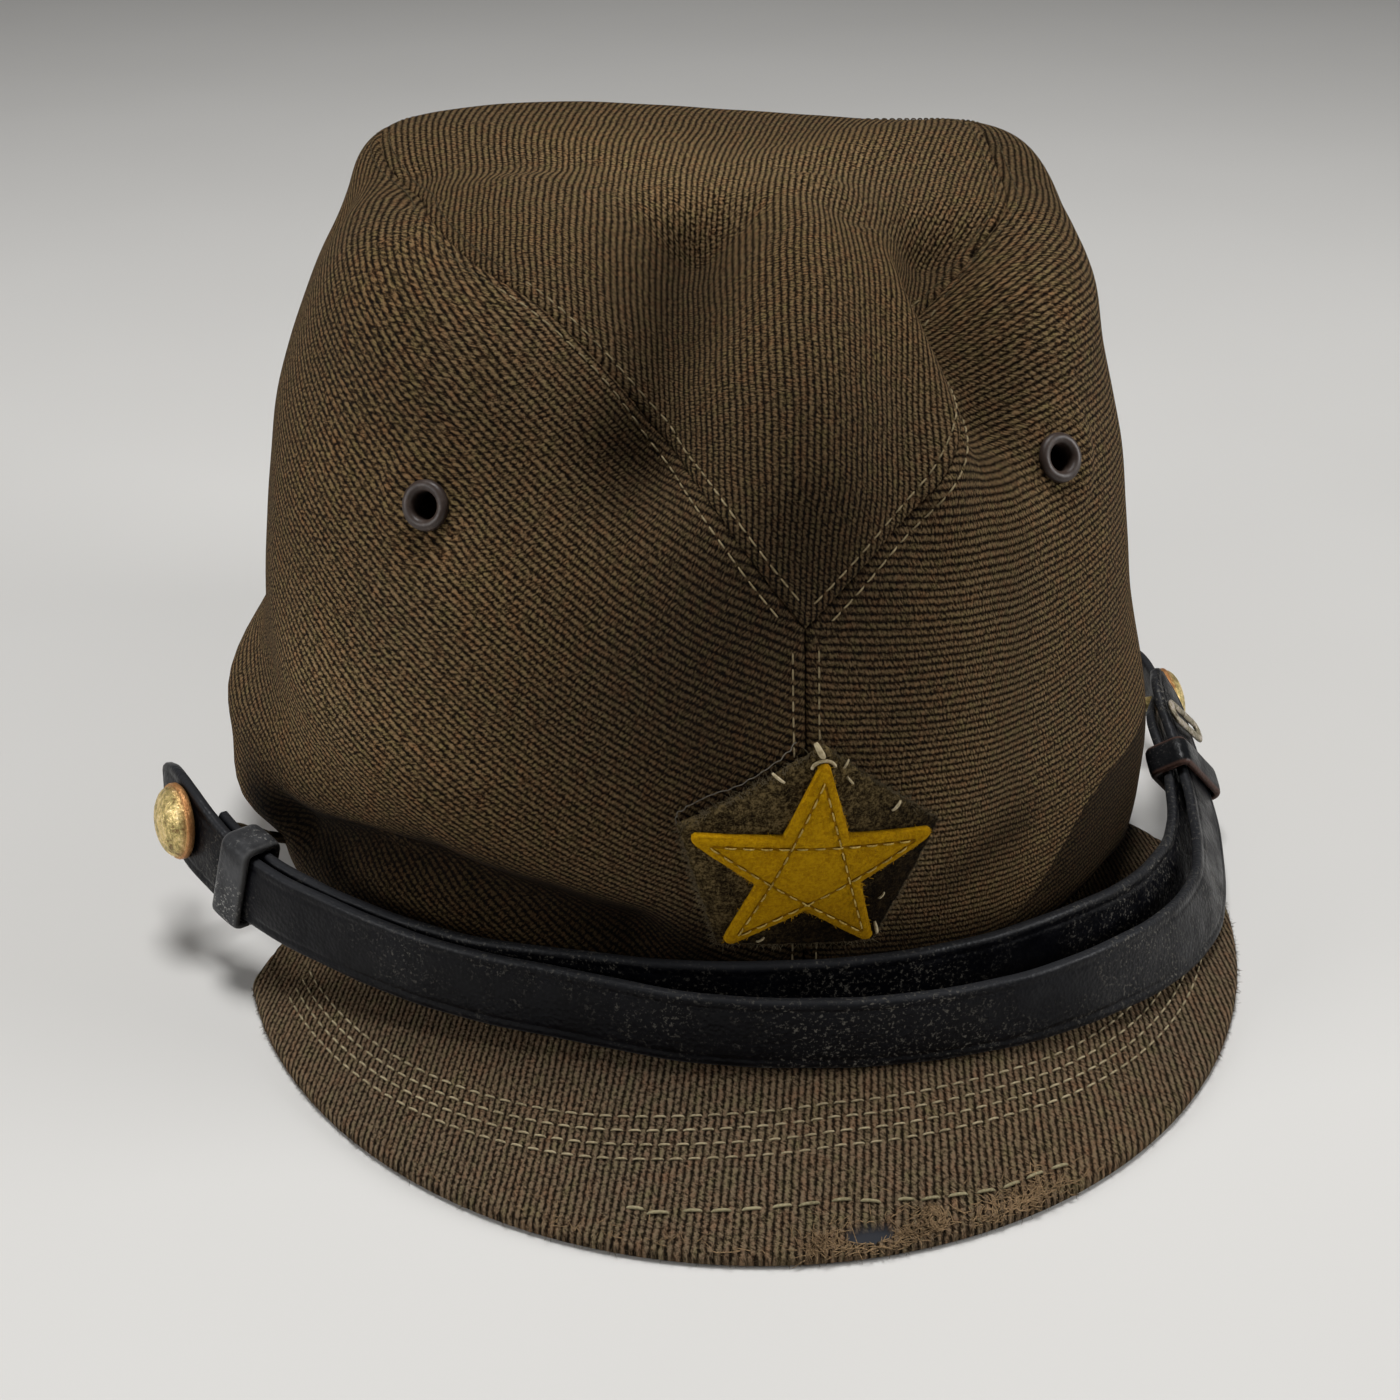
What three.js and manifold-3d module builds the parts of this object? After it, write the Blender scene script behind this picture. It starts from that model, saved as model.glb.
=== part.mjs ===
// Soft woollen field cap with a stitched peak, a felt star badge and a leather chin strap.
// Millimetres, +Z up. The front of the cap faces -Y, and the wearer's left is +X.
// "around" is the angle in degrees from the front towards +X.
// "reach" is the distance from the head's axis.
import * as THREE from "three";
import { mergeVertices } from "three/addons/utils/BufferGeometryUtils.js";
import Module from "manifold-3d";

const wasm = await Module();
wasm.setup();

// Thicknesses and clearance
const CLOTH = 2.0;
const PEAK_THICK = 2.4;
const FELT = 1.2;
const LEATHER = 1.8;
const GAP = 0.3;
const SEAM_HALF_GAP = GAP / 2;
const DRILL_DEPTH = 8;

// Crown: one row per level, from the rim to the middle of the top.
// Front, back and side are reaches, square is the power of the section's oval, lean a shift towards +X.
const CROWN_LEVELS = [
  { height: 0, front: 90.5, back: 93, side: 82.5, square: 2.1, lean: 0 },
  { height: 12, front: 91, back: 94, side: 83.5, square: 2.1, lean: 0 },
  { height: 28, front: 93, back: 94, side: 83.5, square: 2.1, lean: -0.5 },
  { height: 44, front: 95.5, back: 92, side: 79.8, square: 2.1, lean: -1.2 },
  { height: 60, front: 97, back: 89, side: 77.6, square: 2.1, lean: -1.8 },
  { height: 76, front: 96.5, back: 86, side: 75.4, square: 2.15, lean: -2.2 },
  { height: 92, front: 93.5, back: 83, side: 72.2, square: 2.2, lean: -2.2 },
  { height: 107, front: 87, back: 80, side: 67.2, square: 2.3, lean: -1.6 },
  { height: 118, front: 77, back: 76.5, side: 63.4, square: 2.6, lean: -0.8 },
  { height: 124.5, front: 63, back: 71, side: 58.5, square: 2.9, lean: -0.6 },
  { height: 127.5, front: 45, back: 60, side: 49, square: 2.7, lean: -0.5 },
  { height: 128.4, front: 23, back: 34, side: 29, square: 2.2, lean: -0.3 },
  { height: 128.5, front: 0, back: 0, side: 0, square: 2, lean: 0 },
];

// The rim stands on the table behind and rises to the peak in front
const RIM_LIFT = 18;
const LIFT_FROM = 100;
const LIFT_CURVE = 1.3;
const LIFT_FADE = 75;

// Dents and swellings of the soft crown: place, spread, slant of the crease and outward push.
// They push away from a point on the head's axis, and fade out towards the middle of the top.
const FOLD_CENTRE = 55;
const FOLD_FADE = 45;
const CROWN_FOLDS = [
  { fold: "left swell", around: -43, height: 57, wide: 27, tall: 11, slant: -0.1, push: 3.2 },
  { fold: "nose", around: 1, height: 108, wide: 9, tall: 18, slant: 0, push: 3 },
  { fold: "left hollow", around: -15, height: 114, wide: 7, tall: 12, slant: 0, push: -3.5 },
  { fold: "right hollow", around: 27, height: 121, wide: 9, tall: 9, slant: 0, push: -5 },
  { fold: "right swell", around: 52, height: 48, wide: 25, tall: 10, slant: 0, push: 1.5 },
  { fold: "left flare", around: -100, height: 34, wide: 20, tall: 10, slant: 0, push: 7 },
  { fold: "left foot", around: -92, height: 19, wide: 15, tall: 8, slant: 0, push: 5.5 },
  { fold: "left corner dent", around: -112, height: 121, wide: 16, tall: 8, slant: 0, push: -4 },
  { fold: "left corner lift", around: -135, height: 124, wide: 22, tall: 12, slant: 0, push: 2 },
  { fold: "right corner lift", around: 108, height: 122, wide: 26, tall: 12, slant: 0, push: 7.5 },
  { fold: "back slump", around: 152, height: 126, wide: 26, tall: 14, slant: 0, push: -4 },
  { fold: "back hollow", around: 150, height: 70, wide: 26, tall: 20, slant: 0, push: -3 },
  { fold: "back swell", around: -140, height: 55, wide: 26, tall: 18, slant: 0, push: 2 },
];

// Overhang of the slumped crown: height of its lower edge, and inset of the cloth below that edge
const OVERHANG_SOFT = 5;
const OVERHANG = [
  { around: -100, height: 16, inset: 0 },
  { around: -86, height: 22, inset: 1.5 },
  { around: -62, height: 34.5, inset: 3 },
  { around: -45, height: 39, inset: 3.5 },
  { around: -30, height: 38, inset: 3.5 },
  { around: -20, height: 35, inset: 1.8 },
  { around: -11, height: 31, inset: 0 },
  { around: 15, height: 18, inset: 0 },
  { around: 26, height: 27, inset: 2.2 },
  { around: 35, height: 42, inset: 3.5 },
  { around: 50, height: 43, inset: 3.5 },
  { around: 62, height: 42, inset: 3 },
  { around: 80, height: 36, inset: 1.5 },
  { around: 100, height: 30, inset: 0 },
];

// Long creases and ridges of the crown, each along a short path
const CREASES = [
  {
    crease: "left groove",
    radius: 6,
    push: -5,
    path: [[-83, -24, 28], [-77, -40, 34.5], [-64, -63, 39], [-46, -79, 38], [-30, -87, 34.5]],
  },
  { crease: "left valley", radius: 11, push: -9, path: [[-5, -26, 128], [-14, -60, 124], [-22, -79, 110]] },
  { crease: "nose ridge", radius: 10, push: 4, path: [[12, -22, 128], [6, -66, 124], [0, -88, 110]] },
  { crease: "right valley", radius: 9, push: -10, path: [[36, -36, 127], [30, -62, 121], [32, -74, 112]] },
  { crease: "left pinch", radius: 10, push: -5, path: [[-23, -77, 107], [-36, -75, 110]] },
];

// Seam between the top panel and each side: turn from the front, and share of the way from rim to top
const TOP_SEAM_RIGHT = [
  { turn: 0, share: 0.478 },
  { turn: 7, share: 0.555 },
  { turn: 15, share: 0.655 },
  { turn: 28, share: 0.745 },
  { turn: 44, share: 0.8 },
  { turn: 59, share: 0.83 },
  { turn: 80, share: 0.842 },
  { turn: 100, share: 0.832 },
  { turn: 125, share: 0.785 },
  { turn: 150, share: 0.715 },
  { turn: 166, share: 0.61 },
  { turn: 180, share: 0.48 },
];
const TOP_SEAM_LEFT = [
  { turn: 0, share: 0.478 },
  { turn: 7, share: 0.532 },
  { turn: 14, share: 0.582 },
  { turn: 19, share: 0.645 },
  { turn: 24, share: 0.74 },
  { turn: 34, share: 0.788 },
  { turn: 55, share: 0.818 },
  { turn: 100, share: 0.815 },
  { turn: 125, share: 0.785 },
  { turn: 150, share: 0.715 },
  { turn: 166, share: 0.61 },
  { turn: 180, share: 0.48 },
];
const SIDE_COLUMNS = 34;
const SIDE_ROWS = 12;
const TOP_COLUMNS = 2 * SIDE_COLUMNS;
const TOP_ROWS = 6;
const NEAR_TOP = 0.985;

// Small steps for slopes on the crown, in degrees and in share, and halvings in a search
const TURN_STEP = 0.4;
const SHARE_STEP = 0.004;
const HALVINGS = 30;
const TINY = 1e-6;

// Peak: a crescent from under the rim to an oval edge that rests on the table
const PEAK_HALF_WIDTH = 90;
const PEAK_SHIFT = 1.4;
const PEAK_CENTRE = -35;
const PEAK_REACH = 94;
const PEAK_END = 70;
const PEAK_EDGE_END = 83;
const PEAK_ARCH = 0.8;
const PEAK_UNDER_RIM = 1.6;
const PEAK_COLUMNS = 40;
const PEAK_ROWS = 5;

// Badge on the front seam
const BADGE_AROUND = 0.7;
const BADGE_HEIGHT = 49;
const BADGE_TURN = -6;
const PATCH_RADIUS = 21;
const STAR_RADIUS = 18.8;
const STAR_WAIST = 0.44;
const BADGE_POINTS = 5;
const BADGE_STEPS = 3;
const BADGE_RINGS = 4;
const PATCH_LIFT = 2.2 * GAP;
const STAR_LIFT = PATCH_LIFT + FELT + 1.3 * GAP;

// Ventilation eyelets
const EYELETS = [
  { name: "eyelet_right", around: -38.7, height: 98.3 },
  { name: "eyelet_left", around: 30.7, height: 102.1 },
];
const EYELET_FLANGE = 4.1;
const EYELET_BORE = 2.1;
const EYELET_BARREL = 2.9;
const EYELET_PROUD = 0.9;
const EYELET_EDGE = 0.2;

// Chin strap: height of the middle line, lean of the top edge towards the crown in degrees, and width
const STRAP_WIDTH = 13;
const STRAP_OUTER = [
  { around: -82.5, reach: 101.2, height: 28, lean: 10, width: 3 },
  { around: -79.5, reach: 101, height: 26.8, lean: 10, width: 10.5 },
  { around: -74, reach: 100.4, height: 25, lean: 10, width: 15 },
  { around: -68, reach: 99, height: 22.8, lean: 9, width: 14 },
  { around: -62, reach: 97, height: 20.8, lean: 7, width: STRAP_WIDTH },
  { around: -48, reach: 94.4, height: 20.8, lean: 6, width: STRAP_WIDTH },
  { around: -35, reach: 94.8, height: 21.5, lean: 4, width: STRAP_WIDTH },
  { around: -23, reach: 96, height: 22.3, lean: 3, width: STRAP_WIDTH },
  { around: -10, reach: 99.5, height: 22, lean: 0, width: STRAP_WIDTH },
  { around: 2, reach: 101.5, height: 20.8, lean: 0, width: STRAP_WIDTH },
  { around: 14, reach: 103.3, height: 19.4, lean: 3, width: STRAP_WIDTH },
  { around: 29, reach: 104.5, height: 17.2, lean: 12, width: STRAP_WIDTH },
  { around: 48, reach: 103.5, height: 11.8, lean: 24, width: STRAP_WIDTH },
  { around: 61, reach: 99.8, height: 10.8, lean: 31, width: STRAP_WIDTH },
  { around: 70, reach: 97, height: 13.6, lean: 36, width: STRAP_WIDTH },
  { around: 78, reach: 94, height: 20, lean: 40, width: STRAP_WIDTH },
  { around: 82, reach: 92.8, height: 23.6, lean: 41, width: 12 },
  { around: 85, reach: 92, height: 26, lean: 42, width: 4 },
];
const STRAP_INNER = [
  { around: -71, reach: 96.6, height: 23.2, lean: 9, width: 12 },
  { around: -62, reach: 94.5, height: 20.8, lean: 7, width: STRAP_WIDTH },
  { around: -48, reach: 91.8, height: 20.5, lean: 5, width: STRAP_WIDTH },
  { around: -35, reach: 92.2, height: 22, lean: 3, width: STRAP_WIDTH },
  { around: -23, reach: 92.8, height: 23.6, lean: 3, width: STRAP_WIDTH },
  { around: -10, reach: 94.3, height: 24.2, lean: 0, width: STRAP_WIDTH },
  { around: 2, reach: 94.7, height: 23.4, lean: 0, width: STRAP_WIDTH },
  { around: 14, reach: 95.2, height: 22, lean: 2, width: STRAP_WIDTH },
  { around: 29, reach: 95.6, height: 19.6, lean: 8, width: STRAP_WIDTH },
  { around: 46, reach: 96, height: 14.6, lean: 20, width: STRAP_WIDTH },
  { around: 60, reach: 95.6, height: 11.4, lean: 28, width: STRAP_WIDTH },
  { around: 70, reach: 94, height: 12.8, lean: 33, width: STRAP_WIDTH },
  { around: 77, reach: 91.8, height: 16.8, lean: 34, width: STRAP_WIDTH },
  { around: 82, reach: 93, height: 15.8, lean: 22, width: STRAP_WIDTH },
  { around: 86, reach: 95, height: 14.6, lean: 14, width: STRAP_WIDTH },
  { around: 92, reach: 96.5, height: 14.6, lean: 8, width: STRAP_WIDTH },
  { around: 97, reach: 96.3, height: 16, lean: 6, width: 11 },
  { around: 100, reach: 95.9, height: 17, lean: 6, width: 4 },
];
const STRAP_STEPS = 54;
const STRAP_CHAMFER = 0.5;
const STRAP_STEP = 0.5;

// Loops on the strap: the place of each, its length along the strap and its wall
const KEEPER_AROUND = -64.5;
const KEEPER_LENGTH = 6.5;
const BUCKLE_KEEPER_AROUND = 72.6;
const BUCKLE_KEEPER_LENGTH = 6;
const KEEPER_WALL = 1.3;
const KEEPER_CORNER = 0.9;
const KEEPER_CORNER_STEPS = 3;

// Brass slide frame over the strap
const BUCKLE_AROUND = 78.2;
const BUCKLE_LENGTH = 8.4;
const BUCKLE_HEIGHT = 16.4;
const BUCKLE_BAR = 1.8;

// Strap buttons, each with a shank through the strap and a thread that drops to the crown
const BUTTON_RADIUS = 6.8;
const BUTTON_EDGE = 1.4;
const BUTTON_DOME = 2.9;
const DOME_STEPS = 5;
const SHANK_RADIUS = 1.5;
const SHANK_STUB = 1.2;
const THREAD_RADIUS = 1.2;
const BUTTONS = [
  { name: "button_right", strap: STRAP_OUTER, around: -74.4, drop: 25 },
  { name: "button_left", strap: STRAP_INNER, around: 90, drop: 0 },
];
const ROUND_STEPS = 20;

const radians = THREE.MathUtils.degToRad;
const UP = new THREE.Vector3(0, 0, 1);

// Finishes
function finish(colour, roughness, metalness = 0) {
  return new THREE.MeshStandardMaterial({ color: colour, roughness, metalness });
}
const WOOL = finish(0x4a3d29, 0.95);
const PEAK_WOOL = finish(0x51432e, 0.95);
const PATCH_FELT = finish(0x3a3020, 1);
const STAR_FELT = finish(0xb38a17, 0.95);
const ENAMEL = finish(0x3a322b, 0.5, 0.3);
const STRAP_LEATHER = finish(0x17181c, 0.45);
const KEEPER_LEATHER = finish(0x36373b, 0.6);
const BRASS = finish(0xa27c3c, 0.4, 1);

// Smooth reading of a table: a cubic from row to row, with the slope of its neighbours at each row
function readTable(rows, key, at) {
  const last = rows.length - 1;
  const where = THREE.MathUtils.clamp(at, rows[0][key], rows[last][key]);
  let i = 0;
  while (i < last - 1 && rows[i + 1][key] <= where) {
    i += 1;
  }
  const span = rows[i + 1][key] - rows[i][key];
  const t = (where - rows[i][key]) / span;
  const slope = (k, column) => {
    const before = rows[Math.max(k - 1, 0)];
    const after = rows[Math.min(k + 1, last)];
    return (after[column] - before[column]) / (after[key] - before[key]);
  };
  const row = {};
  for (const column of Object.keys(rows[0])) {
    if (typeof rows[0][column] !== "number") {
      continue;
    }
    const start = rows[i][column];
    const end = rows[i + 1][column];
    const leave = slope(i, column) * span;
    const arrive = slope(i + 1, column) * span;
    const bend = 2 * start - 2 * end + leave + arrive;
    const curve = -3 * start + 3 * end - 2 * leave - arrive;
    row[column] = ((bend * t + curve) * t + leave) * t + start;
  }
  return row;
}

// Crown surface: angle from the front in degrees, and share of the way from the rim (0) to the top (1)
const LEVEL_STEPS = CROWN_LEVELS.map((level, step) => {
  return { ...level, share: step / (CROWN_LEVELS.length - 1) };
});

function rimLift(around) {
  const low = Math.cos(radians(LIFT_FROM));
  const rise = Math.max(0, (Math.cos(radians(around)) - low) / (1 - low));
  return RIM_LIFT * rise ** LIFT_CURVE;
}

function foldPush(around, height) {
  let push = 0;
  for (const fold of CROWN_FOLDS) {
    const turn = THREE.MathUtils.euclideanModulo(around - fold.around + 180, 360) - 180;
    const climb = height - fold.height - fold.slant * turn;
    push += fold.push * Math.exp(-((turn / fold.wide) ** 2) - (climb / fold.tall) ** 2);
  }
  return push;
}

function overhangInset(around, height) {
  const edge = readTable(OVERHANG, "around", around);
  return edge.inset * THREE.MathUtils.smoothstep(edge.height - height, 0, OVERHANG_SOFT);
}

function creasePush(point) {
  let total = 0;
  for (const { radius, push, path } of CREASES) {
    const spots = path.map((spot) => new THREE.Vector3(...spot));
    const gaps = spots.slice(1).map((end, i) => {
      const line = new THREE.Line3(spots[i], end);
      return line.closestPointToPoint(point, true, new THREE.Vector3()).distanceTo(point);
    });
    total += push * Math.exp(-((Math.min(...gaps) / radius) ** 2));
  }
  return total;
}

function crownPoint(around, share) {
  const level = readTable(LEVEL_STEPS, "share", share);
  const across = Math.sin(radians(around));
  const along = Math.cos(radians(around));
  const length = Math.max(along >= 0 ? level.front : level.back, TINY);
  const width = Math.max(level.side, TINY);
  const oval = (Math.abs(across) / width) ** level.square + (Math.abs(along) / length) ** level.square;
  const reach = oval ** (-1 / level.square);
  const lifted = level.height + rimLift(around) * Math.max(0, 1 - level.height / LIFT_FADE);
  const point = new THREE.Vector3(reach * across + level.lean, -reach * along, lifted);
  const outward = new THREE.Vector3(point.x, point.y, point.z - FOLD_CENTRE).normalize();
  const fade = THREE.MathUtils.smoothstep(reach, 0, FOLD_FADE);
  const push = fade * foldPush(around, lifted) + creasePush(point) - overhangInset(around, lifted);
  return point.addScaledVector(outward, push);
}

function crownNormal(around, share) {
  const low = Math.max(share - SHARE_STEP, 0);
  const high = Math.min(share + SHARE_STEP, NEAR_TOP);
  const sideways = crownPoint(around + TURN_STEP, share).sub(crownPoint(around - TURN_STEP, share));
  const upwards = crownPoint(around, high).sub(crownPoint(around, low));
  return sideways.cross(upwards).normalize();
}

// Share at which the crown has a given height, found by halving
function crownShare(around, height) {
  let low = 0;
  let high = NEAR_TOP;
  for (let i = 0; i < HALVINGS; i += 1) {
    const middle = (low + high) / 2;
    if (crownPoint(around, middle).z < height) {
      low = middle;
    } else {
      high = middle;
    }
  }
  return low;
}

// Point on the crown's outer face, moved out along its normal
function crownOffset(around, share, out) {
  return crownPoint(around, share).addScaledVector(crownNormal(around, share), out);
}

function mesh(name, geometry, material) {
  const piece = new THREE.Mesh(geometry, material);
  piece.name = name;
  return piece;
}

// Closed mesh gathered from shared corners
class Shell {
  points = [];
  faces = [];

  add(point) {
    this.points.push(point.x, point.y, point.z);
    return this.points.length / 3 - 1;
  }

  addGrid(grid) {
    return grid.map((column) => column.map((point) => this.add(point)));
  }

  triangle(a, b, c) {
    this.faces.push(a, b, c);
  }

  // A quad is split along its shorter diagonal
  quad(a, b, c, d) {
    if (this.distance(a, c) <= this.distance(b, d)) {
      this.triangle(a, b, c);
      this.triangle(a, c, d);
    } else {
      this.triangle(a, b, d);
      this.triangle(b, c, d);
    }
  }

  distance(a, b) {
    return Math.hypot(...[0, 1, 2].map((axis) => this.points[3 * a + axis] - this.points[3 * b + axis]));
  }

  geometry() {
    const built = new THREE.BufferGeometry();
    built.setAttribute("position", new THREE.Float32BufferAttribute(this.points, 3));
    built.setIndex(this.faces);
    const flat = built.toNonIndexed();
    flat.computeVertexNormals();
    return flat;
  }
}

// Wall between an outer and an inner grid of points, columns running round and rows running up.
// A closed wall joins its last column to its first, and a wall with tops closes over a middle point.
function wall(outerGrid, innerGrid, { closed = false, tops = null } = {}) {
  const shell = new Shell();
  const outer = shell.addGrid(outerGrid);
  const inner = shell.addGrid(innerGrid);
  const columns = outer.length;
  const lastRow = outer[0].length - 1;
  const steps = closed ? columns : columns - 1;
  const apex = tops ? tops.map((point) => shell.add(point)) : null;
  for (let i = 0; i < steps; i += 1) {
    const next = (i + 1) % columns;
    for (let j = 0; j < lastRow; j += 1) {
      shell.quad(outer[i][j], outer[next][j], outer[next][j + 1], outer[i][j + 1]);
      shell.quad(inner[i][j], inner[i][j + 1], inner[next][j + 1], inner[next][j]);
    }
    shell.quad(outer[i][0], inner[i][0], inner[next][0], outer[next][0]);
    if (apex) {
      shell.triangle(outer[i][lastRow], outer[next][lastRow], apex[0]);
      shell.triangle(inner[next][lastRow], inner[i][lastRow], apex[1]);
    } else {
      shell.quad(outer[i][lastRow], outer[next][lastRow], inner[next][lastRow], inner[i][lastRow]);
    }
  }
  if (!closed) {
    const end = columns - 1;
    for (let j = 0; j < lastRow; j += 1) {
      shell.quad(outer[0][j], outer[0][j + 1], inner[0][j + 1], inner[0][j]);
      shell.quad(inner[end][j], inner[end][j + 1], outer[end][j + 1], outer[end][j]);
    }
  }
  return shell.geometry();
}

// Solid swept through section loops that all have the same number of corners
function sweep(sections) {
  const shell = new Shell();
  const rings = shell.addGrid(sections);
  const corners = rings[0].length;
  const end = rings.length - 1;
  for (let i = 0; i < end; i += 1) {
    for (let k = 0; k < corners; k += 1) {
      const next = (k + 1) % corners;
      shell.quad(rings[i][k], rings[i + 1][k], rings[i + 1][next], rings[i][next]);
    }
  }
  for (let k = 1; k < corners - 1; k += 1) {
    shell.triangle(rings[0][0], rings[0][k], rings[0][k + 1]);
    shell.triangle(rings[end][0], rings[end][k + 1], rings[end][k]);
  }
  return shell.geometry();
}

// Boolean cuts and joins
const MERGE_WITHIN = 1e-5;

function toManifold(geometry) {
  const bare = geometry.clone();
  bare.deleteAttribute("normal");
  bare.deleteAttribute("uv");
  const merged = mergeVertices(bare, MERGE_WITHIN);
  return new wasm.Manifold(
    new wasm.Mesh({
      numProp: 3,
      vertProperties: new Float32Array(merged.attributes.position.array),
      triVerts: new Uint32Array(merged.index.array),
    }),
  );
}

function fromManifold(solid) {
  const { vertProperties, triVerts } = solid.getMesh();
  const built = new THREE.BufferGeometry();
  built.setAttribute("position", new THREE.BufferAttribute(new Float32Array(vertProperties), 3));
  built.setIndex(new THREE.BufferAttribute(new Uint32Array(triVerts), 1));
  const flat = built.toNonIndexed();
  flat.computeVertexNormals();
  return flat;
}

function cut(geometry, tool) {
  return fromManifold(wasm.Manifold.difference(toManifold(geometry), toManifold(tool)));
}

function join(geometry, other) {
  return fromManifold(wasm.Manifold.union(toManifold(geometry), toManifold(other)));
}

// Turns a shape made along +Y so that +Y runs along an axis from a foot point
function stand(geometry, foot, axis) {
  const turn = new THREE.Quaternion().setFromUnitVectors(new THREE.Vector3(0, 1, 0), axis);
  return geometry.applyQuaternion(turn).translate(foot.x, foot.y, foot.z);
}

// Crown panels

function seamShare(around) {
  const turn = THREE.MathUtils.euclideanModulo(around + 180, 360) - 180;
  const seam = turn > 0 ? TOP_SEAM_LEFT : TOP_SEAM_RIGHT;
  return readTable(seam, "turn", Math.abs(turn)).share;
}

// Shift in share that moves a point by a distance along the crown
function shareStep(around, share, distance) {
  const above = crownPoint(around, share + SHARE_STEP);
  const below = crownPoint(around, share - SHARE_STEP);
  return (distance * 2 * SHARE_STEP) / above.distanceTo(below);
}

function innerPoint(around, share) {
  const point = crownOffset(around, share, -CLOTH);
  if (share === 0) {
    point.z = crownPoint(around, 0).z;
  }
  return point;
}

function sidePanel(sign) {
  const outer = [];
  const inner = [];
  const start = THREE.MathUtils.radToDeg(SEAM_HALF_GAP / CROWN_LEVELS[0].front);
  for (let i = 0; i <= SIDE_COLUMNS; i += 1) {
    const turn = THREE.MathUtils.clamp((180 * i) / SIDE_COLUMNS, start, 180 - start);
    const around = sign > 0 ? turn : turn - 180;
    const seam = seamShare(around);
    const top = seam - shareStep(around, seam, SEAM_HALF_GAP);
    const rows = Array.from({ length: SIDE_ROWS + 1 }, (_, j) => (top * j) / SIDE_ROWS);
    outer.push(rows.map((share) => crownPoint(around, share)));
    inner.push(rows.map((share) => innerPoint(around, share)));
  }
  return wall(outer, inner);
}

function topPanel() {
  const outer = [];
  const inner = [];
  for (let i = 0; i < TOP_COLUMNS; i += 1) {
    const around = -180 + (360 * i) / TOP_COLUMNS;
    const seam = seamShare(around);
    const low = seam + shareStep(around, seam, SEAM_HALF_GAP);
    const rows = Array.from({ length: TOP_ROWS + 1 }, (_, j) => low + ((NEAR_TOP - low) * j) / TOP_ROWS);
    outer.push(rows.map((share) => crownPoint(around, share)));
    inner.push(rows.map((share) => crownOffset(around, share, -CLOTH)));
  }
  const top = crownPoint(0, 1);
  const under = top.clone().addScaledVector(UP, -CLOTH);
  return wall(outer, inner, { closed: true, tops: [top, under] });
}

// Ring with a domed flange outside the cloth and a barrel through it
function eyelet(around, height) {
  const share = crownShare(around, height);
  const axis = crownNormal(around, share);
  const seat = GAP;
  const profile = [
    [EYELET_BORE, -CLOTH - GAP],
    [EYELET_BARREL, -CLOTH - GAP],
    [EYELET_BARREL, seat],
    [EYELET_FLANGE, seat],
    [EYELET_FLANGE - EYELET_EDGE, seat + EYELET_PROUD / 2],
    [(EYELET_FLANGE + EYELET_BORE) / 2, seat + EYELET_PROUD],
    [EYELET_BORE, seat + EYELET_PROUD / 2],
    [EYELET_BORE, -CLOTH - GAP],
  ];
  const points = profile.map(([radius, along]) => new THREE.Vector2(radius, along));
  return stand(new THREE.LatheGeometry(points, ROUND_STEPS), crownPoint(around, share), axis);
}

function eyeletHole(around, height) {
  const share = crownShare(around, height);
  const radius = EYELET_BARREL + GAP;
  const drill = new THREE.CylinderGeometry(radius, radius, DRILL_DEPTH, ROUND_STEPS);
  return stand(drill, crownPoint(around, share), crownNormal(around, share));
}

// Peak: rows run from the edge on the table to the seat under the rim
function peak() {
  const top = [];
  const bottom = [];
  for (let i = 0; i <= PEAK_COLUMNS; i += 1) {
    const turn = (2 * i) / PEAK_COLUMNS - 1;
    const around = PEAK_END * turn;
    const edge = radians(PEAK_EDGE_END * turn);
    const rim = crownPoint(around, 0);
    const outward = new THREE.Vector3(rim.x, rim.y, 0).normalize();
    const seat = rim.clone().addScaledVector(outward, -PEAK_UNDER_RIM);
    seat.z = rimLift(around) - GAP;
    const tip = new THREE.Vector3(
      PEAK_SHIFT + PEAK_HALF_WIDTH * Math.sin(edge),
      PEAK_CENTRE - PEAK_REACH * Math.cos(edge),
      PEAK_THICK,
    );
    const column = Array.from({ length: PEAK_ROWS + 1 }, (_, j) => {
      const share = j / PEAK_ROWS;
      const point = tip.clone().lerp(seat, share);
      point.z += PEAK_ARCH * 4 * share * (1 - share);
      return point;
    });
    top.push(column);
    bottom.push(column.map((point) => point.clone().addScaledVector(UP, -PEAK_THICK)));
  }
  return wall(top, bottom);
}

// Felt cut-outs on the crown: a rim function gives the outline's radius for a share of a turn
function badgePoint(right, up, out) {
  const height = BADGE_HEIGHT + up;
  const share = crownShare(BADGE_AROUND, height);
  const reach = Math.abs(crownPoint(BADGE_AROUND, share).y);
  const around = BADGE_AROUND + THREE.MathUtils.radToDeg(right / reach);
  return crownOffset(around, crownShare(around, height), out);
}

function feltCut(outlineRadius, lift) {
  const outer = [];
  const inner = [];
  const columns = BADGE_POINTS * 2 * BADGE_STEPS;
  const spot = (angle, radius, out) => badgePoint(radius * Math.cos(angle), radius * Math.sin(angle), out);
  for (let i = 0; i < columns; i += 1) {
    const turn = i / columns;
    const angle = radians(90 + BADGE_TURN) + 2 * Math.PI * turn;
    const edge = outlineRadius(turn);
    const rings = Array.from({ length: BADGE_RINGS }, (_, j) => edge * (1 - j / BADGE_RINGS));
    outer.push(rings.map((radius) => spot(angle, radius, lift + FELT)));
    inner.push(rings.map((radius) => spot(angle, radius, lift)));
  }
  return wall(outer, inner, { closed: true, tops: [spot(0, 0, lift + FELT), spot(0, 0, lift)] });
}

// Straight line in polar form between a corner at the start and one at the end of a turn
function edgeRadius(startRadius, endRadius, sweepAngle, share) {
  const angle = sweepAngle * share;
  const cross = startRadius * endRadius * Math.sin(sweepAngle);
  return cross / (startRadius * Math.sin(angle) + endRadius * Math.sin(sweepAngle - angle));
}

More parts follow.
